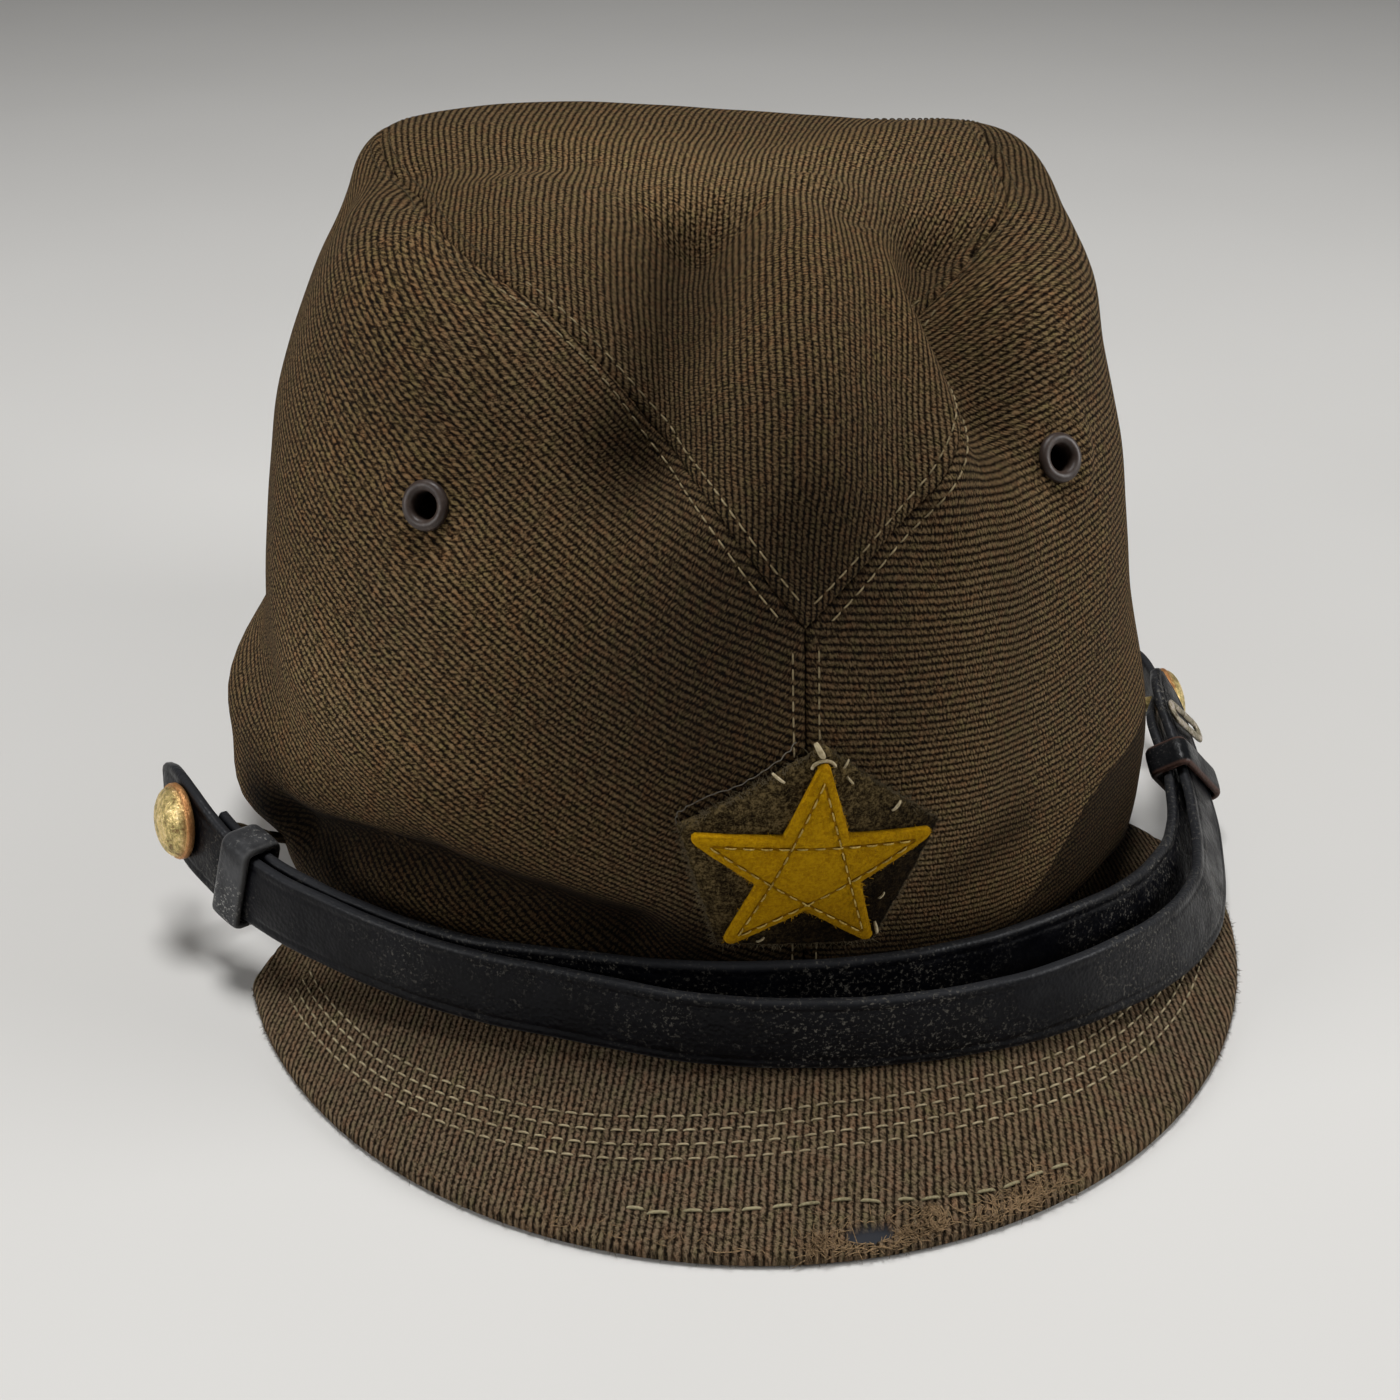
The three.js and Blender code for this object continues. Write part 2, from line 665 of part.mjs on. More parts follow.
function pentagonRadius(turn) {
  const side = (turn * BADGE_POINTS) % 1;
  return edgeRadius(PATCH_RADIUS, PATCH_RADIUS, (2 * Math.PI) / BADGE_POINTS, side);
}

function starRadius(turn) {
  const half = (turn * 2 * BADGE_POINTS) % 2;
  const waist = STAR_RADIUS * STAR_WAIST;
  const angle = Math.PI / BADGE_POINTS;
  if (half < 1) {
    return edgeRadius(STAR_RADIUS, waist, angle, half);
  }
  return edgeRadius(waist, STAR_RADIUS, angle, half - 1);
}

// Place on a strap's middle line, with its axes: along, across (towards the top edge) and outward
function strapSpot(rows, around) {
  const { reach, height } = readTable(rows, "around", around);
  return new THREE.Vector3(reach * Math.sin(radians(around)), -reach * Math.cos(radians(around)), height);
}

function strapAxes(rows, around) {
  const first = rows[0].around;
  const last = rows[rows.length - 1].around;
  const before = strapSpot(rows, Math.max(around - STRAP_STEP, first));
  const after = strapSpot(rows, Math.min(around + STRAP_STEP, last));
  const along = after.sub(before).normalize();
  const level = along.clone().cross(UP).normalize();
  const lean = radians(readTable(rows, "around", around).lean);
  const upright = level.clone().cross(along).normalize();
  const across = upright.multiplyScalar(Math.cos(lean)).addScaledVector(level, -Math.sin(lean));
  const outward = along.clone().cross(across).normalize();
  return { along, across, outward };
}

function strap(rows) {
  const first = rows[0].around;
  const last = rows[rows.length - 1].around;
  const sections = [];
  for (let i = 0; i <= STRAP_STEPS; i += 1) {
    const around = first + ((last - first) * i) / STRAP_STEPS;
    const spot = strapSpot(rows, around);
    const { across, outward } = strapAxes(rows, around);
    const high = readTable(rows, "around", around).width / 2;
    const deep = LEATHER / 2;
    const soft = STRAP_CHAMFER;
    const corners = [
      [deep, -high + soft],
      [deep, high - soft],
      [deep - soft, high],
      [-deep + soft, high],
      [-deep, high - soft],
      [-deep, -high + soft],
      [-deep + soft, -high],
      [deep - soft, -high],
    ];
    sections.push(
      corners.map(([out, up]) => spot.clone().addScaledVector(outward, out).addScaledVector(across, up)),
    );
  }
  return sweep(sections);
}

// Rectangle with rounded corners, as pairs of outward and across
function roundedLoop(halfDeep, halfHigh, corner) {
  const loop = [];
  const centres = [
    [halfDeep - corner, halfHigh - corner, Math.PI / 2],
    [halfDeep - corner, corner - halfHigh, 0],
    [corner - halfDeep, corner - halfHigh, -Math.PI / 2],
    [corner - halfDeep, halfHigh - corner, -Math.PI],
  ];
  for (const [out, up, from] of centres) {
    for (let k = 0; k <= KEEPER_CORNER_STEPS; k += 1) {
      const angle = from - ((Math.PI / 2) * k) / KEEPER_CORNER_STEPS;
      loop.push([out + corner * Math.cos(angle), up + corner * Math.sin(angle)]);
    }
  }
  return loop;
}

// Loop round both layers of the strap
function keeper(around, length) {
  const outerSpot = strapSpot(STRAP_OUTER, around);
  const innerSpot = strapSpot(STRAP_INNER, around);
  const { along, across, outward } = strapAxes(STRAP_OUTER, around);
  const apart = outerSpot.clone().sub(innerSpot);
  const centre = outerSpot.clone().lerp(innerSpot, 0.5);
  const slack = 2 * GAP;
  const halfDeep = (Math.abs(apart.dot(outward)) + LEATHER) / 2 + slack;
  const width = readTable(STRAP_OUTER, "around", around).width;
  const halfHigh = (Math.abs(apart.dot(across)) + width) / 2 + slack;
  const axes = new THREE.Matrix4().makeBasis(outward, across, along).setPosition(centre);
  const place = ([out, up], forward) => new THREE.Vector3(out, up, forward).applyMatrix4(axes);
  const rows = [-length / 2, length / 2];
  const outside = roundedLoop(halfDeep + KEEPER_WALL, halfHigh + KEEPER_WALL, KEEPER_CORNER + KEEPER_WALL);
  const inside = roundedLoop(halfDeep, halfHigh, KEEPER_CORNER);
  const grid = (loop) => loop.map((corner) => rows.map((forward) => place(corner, forward)));
  return wall(grid(outside), grid(inside), { closed: true });
}

// Slide frame: a rectangular window of brass bars on the strap's outer face
function buckle() {
  const { along, across, outward } = strapAxes(STRAP_OUTER, BUCKLE_AROUND);
  const outline = new THREE.Shape();
  const halfLong = BUCKLE_LENGTH / 2;
  const halfHigh = BUCKLE_HEIGHT / 2;
  outline.moveTo(-halfLong, -halfHigh);
  outline.lineTo(halfLong, -halfHigh);
  outline.lineTo(halfLong, halfHigh);
  outline.lineTo(-halfLong, halfHigh);
  const window = new THREE.Path();
  window.moveTo(-halfLong + BUCKLE_BAR, -halfHigh + BUCKLE_BAR);
  window.lineTo(-halfLong + BUCKLE_BAR, halfHigh - BUCKLE_BAR);
  window.lineTo(halfLong - BUCKLE_BAR, halfHigh - BUCKLE_BAR);
  window.lineTo(halfLong - BUCKLE_BAR, -halfHigh + BUCKLE_BAR);
  outline.holes.push(window);
  const frame = new THREE.ExtrudeGeometry(outline, { depth: BUCKLE_BAR, bevelEnabled: false });
  const slack = 2 * GAP;
  const foot = strapSpot(STRAP_OUTER, BUCKLE_AROUND).addScaledVector(outward, LEATHER / 2 + slack);
  const axes = new THREE.Matrix4().makeBasis(along, across, outward).setPosition(foot);
  return frame.applyMatrix4(axes);
}

// Distance from a point along an axis to the crown's outer face
function distanceToCrown(from, axis) {
  const step = 0.05;
  const farthest = 40;
  for (let distance = 0; distance < farthest; distance += step) {
    const point = from.clone().addScaledVector(axis, distance);
    const around = THREE.MathUtils.radToDeg(Math.atan2(point.x, -point.y));
    const skin = crownPoint(around, crownShare(around, point.z));
    if (Math.hypot(point.x, point.y) <= Math.hypot(skin.x, skin.y)) {
      return distance;
    }
  }
  return farthest;
}

function button({ strap: rows, around, drop }) {
  const spot = strapSpot(rows, around);
  const { along, across, outward } = strapAxes(rows, around);
  const back = LEATHER / 2 + GAP;
  const stub = -back - SHANK_STUB;
  const profile = [
    [0, stub],
    [SHANK_RADIUS, stub],
    [SHANK_RADIUS, back],
    [BUTTON_RADIUS, back],
    [BUTTON_RADIUS, back + BUTTON_EDGE],
  ];
  for (let k = 1; k <= DOME_STEPS; k += 1) {
    const angle = ((Math.PI / 2) * k) / DOME_STEPS;
    const radius = k === DOME_STEPS ? 0 : BUTTON_RADIUS * Math.cos(angle);
    profile.push([radius, back + BUTTON_EDGE + BUTTON_DOME * Math.sin(angle)]);
  }
  const points = profile.map(([radius, out]) => new THREE.Vector2(radius, out));
  const head = stand(new THREE.LatheGeometry(points, ROUND_STEPS), spot, outward);
  const inward = outward.clone().negate().applyAxisAngle(along, radians(-drop));
  const root = spot.clone().addScaledVector(outward, stub + SHANK_STUB / 2);
  const sides = [across, across.clone().negate(), along, along.clone().negate()];
  const starts = sides.map((side) => root.clone().addScaledVector(side, THREAD_RADIUS));
  const reaches = starts.map((start) => distanceToCrown(start, inward));
  const length = Math.min(...reaches) - 2 * GAP - THREAD_RADIUS * Math.sin(radians(drop));
  const thread = new THREE.CylinderGeometry(THREAD_RADIUS, THREAD_RADIUS, length, ROUND_STEPS / 2);
  return join(head, stand(thread.translate(0, length / 2, 0), root, inward));
}

function buttonHole({ strap: rows, around }) {
  const { outward } = strapAxes(rows, around);
  const radius = SHANK_RADIUS + GAP;
  const drill = new THREE.CylinderGeometry(radius, radius, DRILL_DEPTH, ROUND_STEPS);
  return stand(drill, strapSpot(rows, around), outward);
}

// Assembly
const [eyeletRight, eyeletLeft] = EYELETS;
const [buttonRight, buttonLeft] = BUTTONS;
const cap = new THREE.Group();
cap.add(
  mesh("side_panel_right", cut(sidePanel(-1), eyeletHole(eyeletRight.around, eyeletRight.height)), WOOL),
  mesh("side_panel_left", cut(sidePanel(1), eyeletHole(eyeletLeft.around, eyeletLeft.height)), WOOL),
  mesh("top_panel", topPanel(), WOOL),
  mesh("peak", peak(), PEAK_WOOL),
  mesh("badge_patch", feltCut(pentagonRadius, PATCH_LIFT), PATCH_FELT),
  mesh("badge_star", feltCut(starRadius, STAR_LIFT), STAR_FELT),
  mesh("strap_outer", cut(strap(STRAP_OUTER), buttonHole(buttonRight)), STRAP_LEATHER),
  mesh("strap_inner", cut(strap(STRAP_INNER), buttonHole(buttonLeft)), STRAP_LEATHER),
  mesh("strap_keeper", keeper(KEEPER_AROUND, KEEPER_LENGTH), STRAP_LEATHER),
  mesh("buckle_keeper", keeper(BUCKLE_KEEPER_AROUND, BUCKLE_KEEPER_LENGTH), KEEPER_LEATHER),
  mesh("buckle", buckle(), BRASS),
);
for (const { name, around, height } of EYELETS) {
  cap.add(mesh(name, eyelet(around, height), ENAMEL));
}
for (const row of BUTTONS) {
  cap.add(mesh(row.name, button(row), BRASS));
}

// The origin is the middle of the cap's footprint on the table
const box = new THREE.Box3().setFromObject(cap);
const middle = box.getCenter(new THREE.Vector3());
cap.position.set(-middle.x, -middle.y, -box.min.z);

export default cap;
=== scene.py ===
import math

import bpy
import numpy as np
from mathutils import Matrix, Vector
from mathutils.kdtree import KDTree


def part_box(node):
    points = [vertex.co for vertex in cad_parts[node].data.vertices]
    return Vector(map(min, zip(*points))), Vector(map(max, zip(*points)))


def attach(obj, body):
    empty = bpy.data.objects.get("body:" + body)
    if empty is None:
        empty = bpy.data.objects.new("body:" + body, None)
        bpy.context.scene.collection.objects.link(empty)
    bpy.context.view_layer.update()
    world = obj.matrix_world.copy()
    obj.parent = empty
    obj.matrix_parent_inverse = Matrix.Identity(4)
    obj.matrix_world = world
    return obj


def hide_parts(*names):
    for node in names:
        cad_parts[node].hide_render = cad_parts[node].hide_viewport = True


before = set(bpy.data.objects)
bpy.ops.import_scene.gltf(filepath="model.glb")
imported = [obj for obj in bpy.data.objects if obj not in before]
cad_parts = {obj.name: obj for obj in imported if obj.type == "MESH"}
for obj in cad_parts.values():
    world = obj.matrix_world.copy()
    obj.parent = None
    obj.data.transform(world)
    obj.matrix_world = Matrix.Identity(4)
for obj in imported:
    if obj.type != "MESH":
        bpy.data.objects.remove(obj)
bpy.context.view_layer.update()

# Lengths are millimetres in the cap's own frame, and become metres in the part's frame when a mesh is made.
# "around" is the angle in degrees from the front towards +X, "reach" the distance from the head's axis.
MM = 0.001
TINY = 1e-6


def table(columns, *rows):
    """Rows of numbers under named columns."""
    return dict(zip(columns.split(), np.array(rows, float).T))


# Thicknesses and clearance
CLOTH = 2.0
PEAK_THICK = 2.4
FELT = 1.2
LEATHER = 1.8
GAP = 0.3

# Crown levels from the rim to the middle of the top, with the rise of the rim towards the peak
CROWN = table(
    "height front back side square lean",
    (0, 90.5, 93, 82.5, 2.1, 0),
    (12, 91, 94, 83.5, 2.1, 0),
    (28, 93, 94, 83.5, 2.1, -0.5),
    (44, 95.5, 92, 79.8, 2.1, -1.2),
    (60, 97, 89, 77.6, 2.1, -1.8),
    (76, 96.5, 86, 75.4, 2.15, -2.2),
    (92, 93.5, 83, 72.2, 2.2, -2.2),
    (107, 87, 80, 67.2, 2.3, -1.6),
    (118, 77, 76.5, 63.4, 2.6, -0.8),
    (124.5, 63, 71, 58.5, 2.9, -0.6),
    (127.5, 45, 60, 49, 2.7, -0.5),
    (128.4, 23, 34, 29, 2.2, -0.3),
    (128.5, 0, 0, 0, 2, 0),
)
LEVEL_COLUMNS = tuple(CROWN)
CROWN["share"] = np.linspace(0, 1, len(CROWN["height"]))
RIM_LIFT = 18
LIFT_FROM = 100
LIFT_CURVE = 1.3
LIFT_FADE = 75

# Dents and swellings of the soft crown: place, half sizes, slant and push outwards
FOLD_CENTRE = 55
FOLD_FADE = 45
FOLDS = table(
    "around height wide tall slant push",
    (-43, 57, 27, 11, -0.1, 3.2),
    (1, 108, 9, 18, 0, 3),
    (-15, 114, 7, 12, 0, -3.5),
    (27, 121, 9, 9, 0, -5),
    (52, 48, 25, 10, 0, 1.5),
    (-100, 34, 20, 10, 0, 7),
    (-92, 19, 15, 8, 0, 5.5),
    (-112, 121, 16, 8, 0, -4),
    (-135, 124, 22, 12, 0, 2),
    (104, 121, 22, 11, 0, 6),
    (152, 126, 26, 14, 0, -4),
    (150, 70, 26, 20, 0, -3),
    (-140, 55, 26, 18, 0, 2),
)

# Overhang of the slumped crown: height of its lower edge, inset of the cloth below it, height of the bend
OVERHANG = table(
    "around height inset soft",
    (-100, 15, 0, 9),
    (-86, 19, 1.5, 9),
    (-72, 25, 2.5, 9),
    (-55, 35.5, 3.2, 9),
    (-40, 41, 3.5, 9),
    (-28, 40, 2.8, 11),
    (-17, 36, 1.2, 13),
    (-8, 34, 0, 14),
    (15, 18, 0, 6),
    (26, 27, 2.2, 2.5),
    (35, 42, 3.5, 2.5),
    (50, 43, 3.2, 2.5),
    (62, 42, 0.5, 2.5),
    (80, 36, -2, 2.5),
    (110, 30, 0, 2.5),
)

# Creases along short paths: radius and push of each, and its points
LEFT_GROOVE = ((-79, -30, 23), (-69, -56, 32), (-56, -71, 36.5), (-39, -83, 35), (-28, -88, 32))
LEFT_VALLEY = ((-5, -26, 128), (-14, -60, 124), (-22, -79, 110))
RIGHT_VALLEY = ((36, -36, 127), (30, -62, 121), (32, -74, 112))
CREASES = (
    (6.5, -5.5, LEFT_GROOVE),
    (10, -11, LEFT_VALLEY),
    (9, 5.5, ((12, -22, 128), (6, -66, 124), (0, -88, 110))),
    (5, 4.2, ((22, -41, 126), (19, -63, 123), (22, -79, 112), (19, -86, 104))),
    (9, -11.5, RIGHT_VALLEY),
    (16, -2.3, ((-25, -77, 107), (-42, -71, 110))),
    (9, 2.5, ((-30, -8, 128), (-32, -40, 124), (-38, -58, 117))),
    (4, -1.8, ((-49, 18, 127), (-48, -6, 128))),
)

# Seam between the top panel and each side: turn from the front, and share of the way from rim to top
SEAM_BACK = ((125, 0.785), (150, 0.715), (166, 0.61), (180, 0.48))
SEAM_RIGHT = table(
    "turn share",
    (0, 0.478),
    (7, 0.555),
    (15, 0.655),
    (28, 0.745),
    (44, 0.8),
    (59, 0.83),
    (80, 0.842),
    (100, 0.832),
    *SEAM_BACK,
)
SEAM_LEFT = table(
    "turn share",
    (0, 0.478),
    (7, 0.532),
    (14, 0.582),
    (19, 0.645),
    (24, 0.74),
    (34, 0.788),
    (55, 0.818),
    (100, 0.815),
    *SEAM_BACK,
)
NEAR_TOP = 0.985
SEAM_HALF_GAP = 0.1

# Lift of the cloth beside a seam: a ditch, a rounded lip and a dip under the row of stitches
SEAM_RELIEF = table(
    "distance lift",
    (0, -0.55),
    (0.3, -0.12),
    (0.8, 0.1),
    (1.4, 0.1),
    (1.9, -0.06),
    (2.5, 0.06),
    (4, 0),
)
STITCH_INSET = 1.9

# Peak
PEAK_HALF_WIDTH = 90
PEAK_SHIFT = 1.4
PEAK_CENTRE = -35
PEAK_REACH = 94
PEAK_END = 70
PEAK_EDGE_END = 83
PEAK_ARCH = 0.8
PEAK_UNDER_RIM = 1.6

# Badge
BADGE_AROUND = 0.0
BADGE_HEIGHT = 49.7
BADGE_TURN = -6
PATCH_RADIUS = 21
STAR_RADIUS = 18.8
STAR_WAIST = 0.44
BADGE_POINTS = 5
PATCH_LIFT = 2.2 * GAP
STAR_LIFT = PATCH_LIFT + FELT + 1.3 * GAP

# Eyelets
EYELETS = {"eyelet_right": (-37.4, 98.7), "eyelet_left": (31, 101.6)}
EYELET_FLANGE = 3.8
EYELET_TURN = 0.35
EYELET_SEAT = 4.5
EYELET_SEAT_FADE = 12
EYELET_BORE = 2.1
EYELET_BARREL = 2.9
EYELET_PROUD = 0.9

# Chin strap: height of the middle line, lean of the top edge towards the crown, and width
STRAP_WIDTH = 13
STRAP_OUTER = table(
    "around reach height lean width",
    (-82.5, 101.2, 28, 10, 3),
    (-79.5, 101, 26.8, 10, 10.5),
    (-74, 100.4, 25, 10, 15),
    (-68, 99, 22.8, 9, 14),
    (-62, 97, 20.8, 7, STRAP_WIDTH),
    (-48, 94.4, 20.8, 6, STRAP_WIDTH),
    (-35, 94.8, 21.5, 4, STRAP_WIDTH),
    (-23, 96, 22.3, 3, STRAP_WIDTH),
    (-10, 99.5, 22, 0, STRAP_WIDTH),
    (2, 101.5, 20.8, 0, STRAP_WIDTH),
    (14, 103.3, 19.4, 3, STRAP_WIDTH),
    (29, 104.5, 17.2, 12, STRAP_WIDTH),
    (48, 103.5, 11.8, 24, STRAP_WIDTH),
    (61, 99.8, 10.8, 31, STRAP_WIDTH),
    (70, 97, 13.6, 36, STRAP_WIDTH),
    (78, 94, 20, 40, STRAP_WIDTH),
    (82, 92.8, 23.6, 41, 12),
    (85, 92, 26, 42, 4),
)
STRAP_INNER = table(
    "around reach height lean width",
    (-71, 96.6, 23.2, 9, 12),
    (-62, 94.5, 20.8, 7, STRAP_WIDTH),
    (-48, 91.8, 20.5, 5, STRAP_WIDTH),
    (-35, 92.2, 22, 3, STRAP_WIDTH),
    (-23, 92.8, 23.6, 3, STRAP_WIDTH),
    (-10, 94.3, 24.2, 0, STRAP_WIDTH),
    (2, 94.7, 23.4, 0, STRAP_WIDTH),
    (14, 95.2, 22, 2, STRAP_WIDTH),
    (29, 95.6, 19.6, 8, STRAP_WIDTH),
    (46, 96, 14.6, 20, STRAP_WIDTH),
    (60, 95.6, 11.4, 28, STRAP_WIDTH),
    (70, 94, 12.8, 33, STRAP_WIDTH),
    (77, 91.8, 16.8, 34, STRAP_WIDTH),
    (82, 93, 15.8, 22, STRAP_WIDTH),
    (86, 95, 14.6, 14, STRAP_WIDTH),
    (92, 96.5, 14.6, 8, STRAP_WIDTH),
    (97, 96.3, 16, 6, 11),
    (100, 95.9, 17, 6, 4),
)
KEEPER_AROUND = -64.5
KEEPER_LENGTH = 6.5
BUCKLE_KEEPER_AROUND = 72.6
BUCKLE_KEEPER_LENGTH = 6
KEEPER_WALL = 1.3
KEEPER_CORNER = 0.9
BUCKLE_AROUND = 78.2
BUCKLE_LENGTH = 5.4
BUCKLE_HEIGHT = 14.6
BUCKLE_BAR = 1.8
BUCKLE_FLAT = 0.55
BUCKLE_CORNER = 1.6
BUCKLE_SIDES = 14
BUTTON_RADIUS = 6.8
BUTTON_EDGE = 1.4
BUTTON_DOME = 2.9
DOME_RADIUS = 0.93 * BUTTON_RADIUS
BUTTON_STEPS = 64
SHANK_RADIUS = 1.5
SHANK_STUB = 1.2
STEM_LONGEST = 40
STEM_STEP = 0.1
STEM_PLIES = 4
STEM_TURNS = 1.2
STEM_PLY_OFFSET = 0.55
STEM_PLY_RADIUS = 0.42
BUTTONS = {"button_right": (STRAP_OUTER, -74.4, 25), "button_left": (STRAP_INNER, 90, 0)}

# The cap's own frame is shifted to the part's frame, which the peak's box gives
PEAK_LOW, PEAK_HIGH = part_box("peak")
PEAK_RIGHT = PEAK_SHIFT + PEAK_HALF_WIDTH * math.sin(math.radians(PEAK_EDGE_END))
SHIFT = np.array((
    PEAK_HIGH.x / MM - PEAK_RIGHT,
    PEAK_LOW.y / MM - (PEAK_CENTRE - PEAK_REACH),
    PEAK_LOW.z / MM,
))


# Tables and small vector helpers
def read(rows, key, at, column):
    """Smooth value of a column: a cubic from row to row, with the slope of its neighbours at each row."""
    place = rows[key]
    value = rows[column]
    last = len(place) - 1
    at = np.clip(at, place[0], place[last])
    i = np.clip(np.searchsorted(place, at, side="right") - 1, 0, last - 1)
    steps = np.arange(last + 1)
    before = np.maximum(steps - 1, 0)
    after = np.minimum(steps + 1, last)
    slope = (value[after] - value[before]) / (place[after] - place[before])
    span = place[i + 1] - place[i]
    t = (at - place[i]) / span
    leave = slope[i] * span
    arrive = slope[i + 1] * span
    bend = 2 * value[i] - 2 * value[i + 1] + leave + arrive
    curve = -3 * value[i] + 3 * value[i + 1] - 2 * leave - arrive
    return ((bend * t + curve) * t + leave) * t + value[i]


def unit(vectors):
    """Vectors scaled to length 1."""
    vectors = np.asarray(vectors, float)
    return vectors / np.maximum(np.linalg.norm(vectors, axis=-1, keepdims=True), TINY)


def smoothstep(value, low, high):
    t = np.clip((value - low) / (high - low), 0, 1)
    return t * t * (3 - 2 * t)


def badge_angle(share):
    """Angle of a place on the badge, by its share of the way round from the top."""
    return math.radians(90 + BADGE_TURN) + 2 * math.pi * share


def nearest(line, points):
    """Distance from each point to the nearest point of a line."""
    tree = KDTree(len(line))
    for i, spot in enumerate(line):
        tree.insert(spot, i)
    tree.balance()
    flat = points.reshape(-1, 3)
    found = np.array([tree.find(spot)[2] for spot in flat])
    return found.reshape(points.shape[:-1])


# Crown surface
def rim_lift(around):
    low = math.cos(math.radians(LIFT_FROM))
    rise = np.maximum(0, (np.cos(np.radians(around)) - low) / (1 - low))
    return RIM_LIFT * rise**LIFT_CURVE


def fold_push(around, height):
    push = np.zeros_like(height)
    for i in range(len(FOLDS["around"])):
        fold = {name: FOLDS[name][i] for name in FOLDS}
        turn = (around - fold["around"] + 180) % 360 - 180
        climb = height - fold["height"] - fold["slant"] * turn
        push += fold["push"] * np.exp(-((turn / fold["wide"]) ** 2) - (climb / fold["tall"]) ** 2)
    return push


def path_distance(points, path):
    """Distance from each point to a path of straight pieces."""
    found = np.full(points.shape[:-1], np.inf)
    for start, end in zip(path[:-1], path[1:]):
        start = np.array(start, float)
        run = np.array(end, float) - start
        share = np.clip(((points - start) @ run) / (run @ run), 0, 1)
        gap = np.linalg.norm(points - start - share[..., None] * run, axis=-1)
        found = np.minimum(found, gap)
    return found


def crease_push(points):
    push = np.zeros(points.shape[:-1])
    for radius, depth, path in CREASES:
        push += depth * np.exp(-((path_distance(points, path) / radius) ** 2))
    return push


def overhang_inset(around, height):
    turn = (around + 180) % 360 - 180
    below = read(OVERHANG, "around", turn, "height") - height
    bend = read(OVERHANG, "around", turn, "soft")
    return read(OVERHANG, "around", turn, "inset") * smoothstep(below / bend, 0, 1)


def smooth_crown(around, share):
    """Crown points without dents, and their reach from the head's axis."""
    level = {name: read(CROWN, "share", share, name) for name in LEVEL_COLUMNS}
    across = np.sin(np.radians(around))
    along = np.cos(np.radians(around))
    length = np.maximum(np.where(along >= 0, level["front"], level["back"]), TINY)
    width = np.maximum(level["side"], TINY)
    power = level["square"]
    oval = (np.abs(across) / width) ** power + (np.abs(along) / length) ** power
    reach = oval ** (-1 / power)
    height = level["height"] + rim_lift(around) * np.maximum(0, 1 - level["height"] / LIFT_FADE)
    return np.stack([reach * across + level["lean"], -reach * along, height], axis=-1), reach


def crown(around, share):
    """Points on the crown's outer face, share 0 at the rim and 1 in the middle of the top."""
    around, share = np.broadcast_arrays(np.asarray(around, float), np.asarray(share, float))
    points, reach = smooth_crown(around, share)
    height = points[..., 2]
    outward = unit(points - np.array((0, 0, FOLD_CENTRE)))
    push = smoothstep(reach, 0, FOLD_FADE) * fold_push(around, height) + crease_push(points)
    push -= overhang_inset(around, height)
    return points + outward * push[..., None]


def crown_slopes(around, share, turn=0.3, climb=0.003):
    """Change of the crown's point for each degree around and for each unit of share."""
    low = np.maximum(share - climb, 0)
    high = np.minimum(share + climb, NEAR_TOP)
    sideways = (crown(around + turn, share) - crown(around - turn, share)) / (2 * turn)
    upwards = (crown(around, high) - crown(around, low)) / (high - low)[..., None]
    return sideways, upwards


def crown_normal(around, share):
    sideways, upwards = crown_slopes(around, share)
    return unit(np.cross(sideways, upwards))


def crown_share(around, height):
    """Share at which the crown has a given height, found by halving."""
    around, height = np.broadcast_arrays(np.asarray(around, float), np.asarray(height, float))
    low = np.zeros(around.shape)
    high = np.full(around.shape, NEAR_TOP)
    for _ in range(30):
        middle = (low + high) / 2
        under = crown(around, middle)[..., 2] < height
        low = np.where(under, middle, low)
        high = np.where(under, high, middle)
    return low


def crown_offset(around, share, out):
    return crown(around, share) + crown_normal(around, share) * np.asarray(out, float)[..., None]


def crown_step(around, share, direction, distance):
    """Place on the crown a distance away along a direction that lies in the surface."""
    sideways, upwards = crown_slopes(around, share)
    ss = (sideways * sideways).sum(-1)
    su = (sideways * upwards).sum(-1)
    uu = (upwards * upwards).sum(-1)
    sd = (sideways * direction).sum(-1)
    ud = (upwards * direction).sum(-1)
    scale = ss * uu - su * su
    turn = (sd * uu - ud * su) / scale
    climb = (ud * ss - sd * su) / scale
    return around + turn * distance, share + climb * distance


def seam_share(around):
    turn = (np.asarray(around, float) + 180) % 360 - 180
    left = read(SEAM_LEFT, "turn", np.abs(turn), "share")
    right = read(SEAM_RIGHT, "turn", np.abs(turn), "share")
    return np.where(turn > 0, left, right)


# Meshes
def grid_faces(index, closed=False):
    """Quads over a grid of point numbers, columns first."""
    here = index if closed else index[:-1]
    there = np.roll(index, -1, axis=0) if closed else index[1:]
    quads = np.stack([here[:, :-1], there[:, :-1], there[:, 1:], here[:, 1:]], axis=-1)
    return quads.reshape(-1, 4).tolist()


def edge_faces(outer, inner, step):
    """Faces between a fine line of point numbers and a line with one point for each step of it."""
    faces = []
    for k in range(len(inner) - 1):
        fine = outer[k * step : (k + 1) * step + 1]
        faces.append([int(inner[k]), int(inner[k + 1]), *[int(i) for i in fine[::-1]]])
    return faces


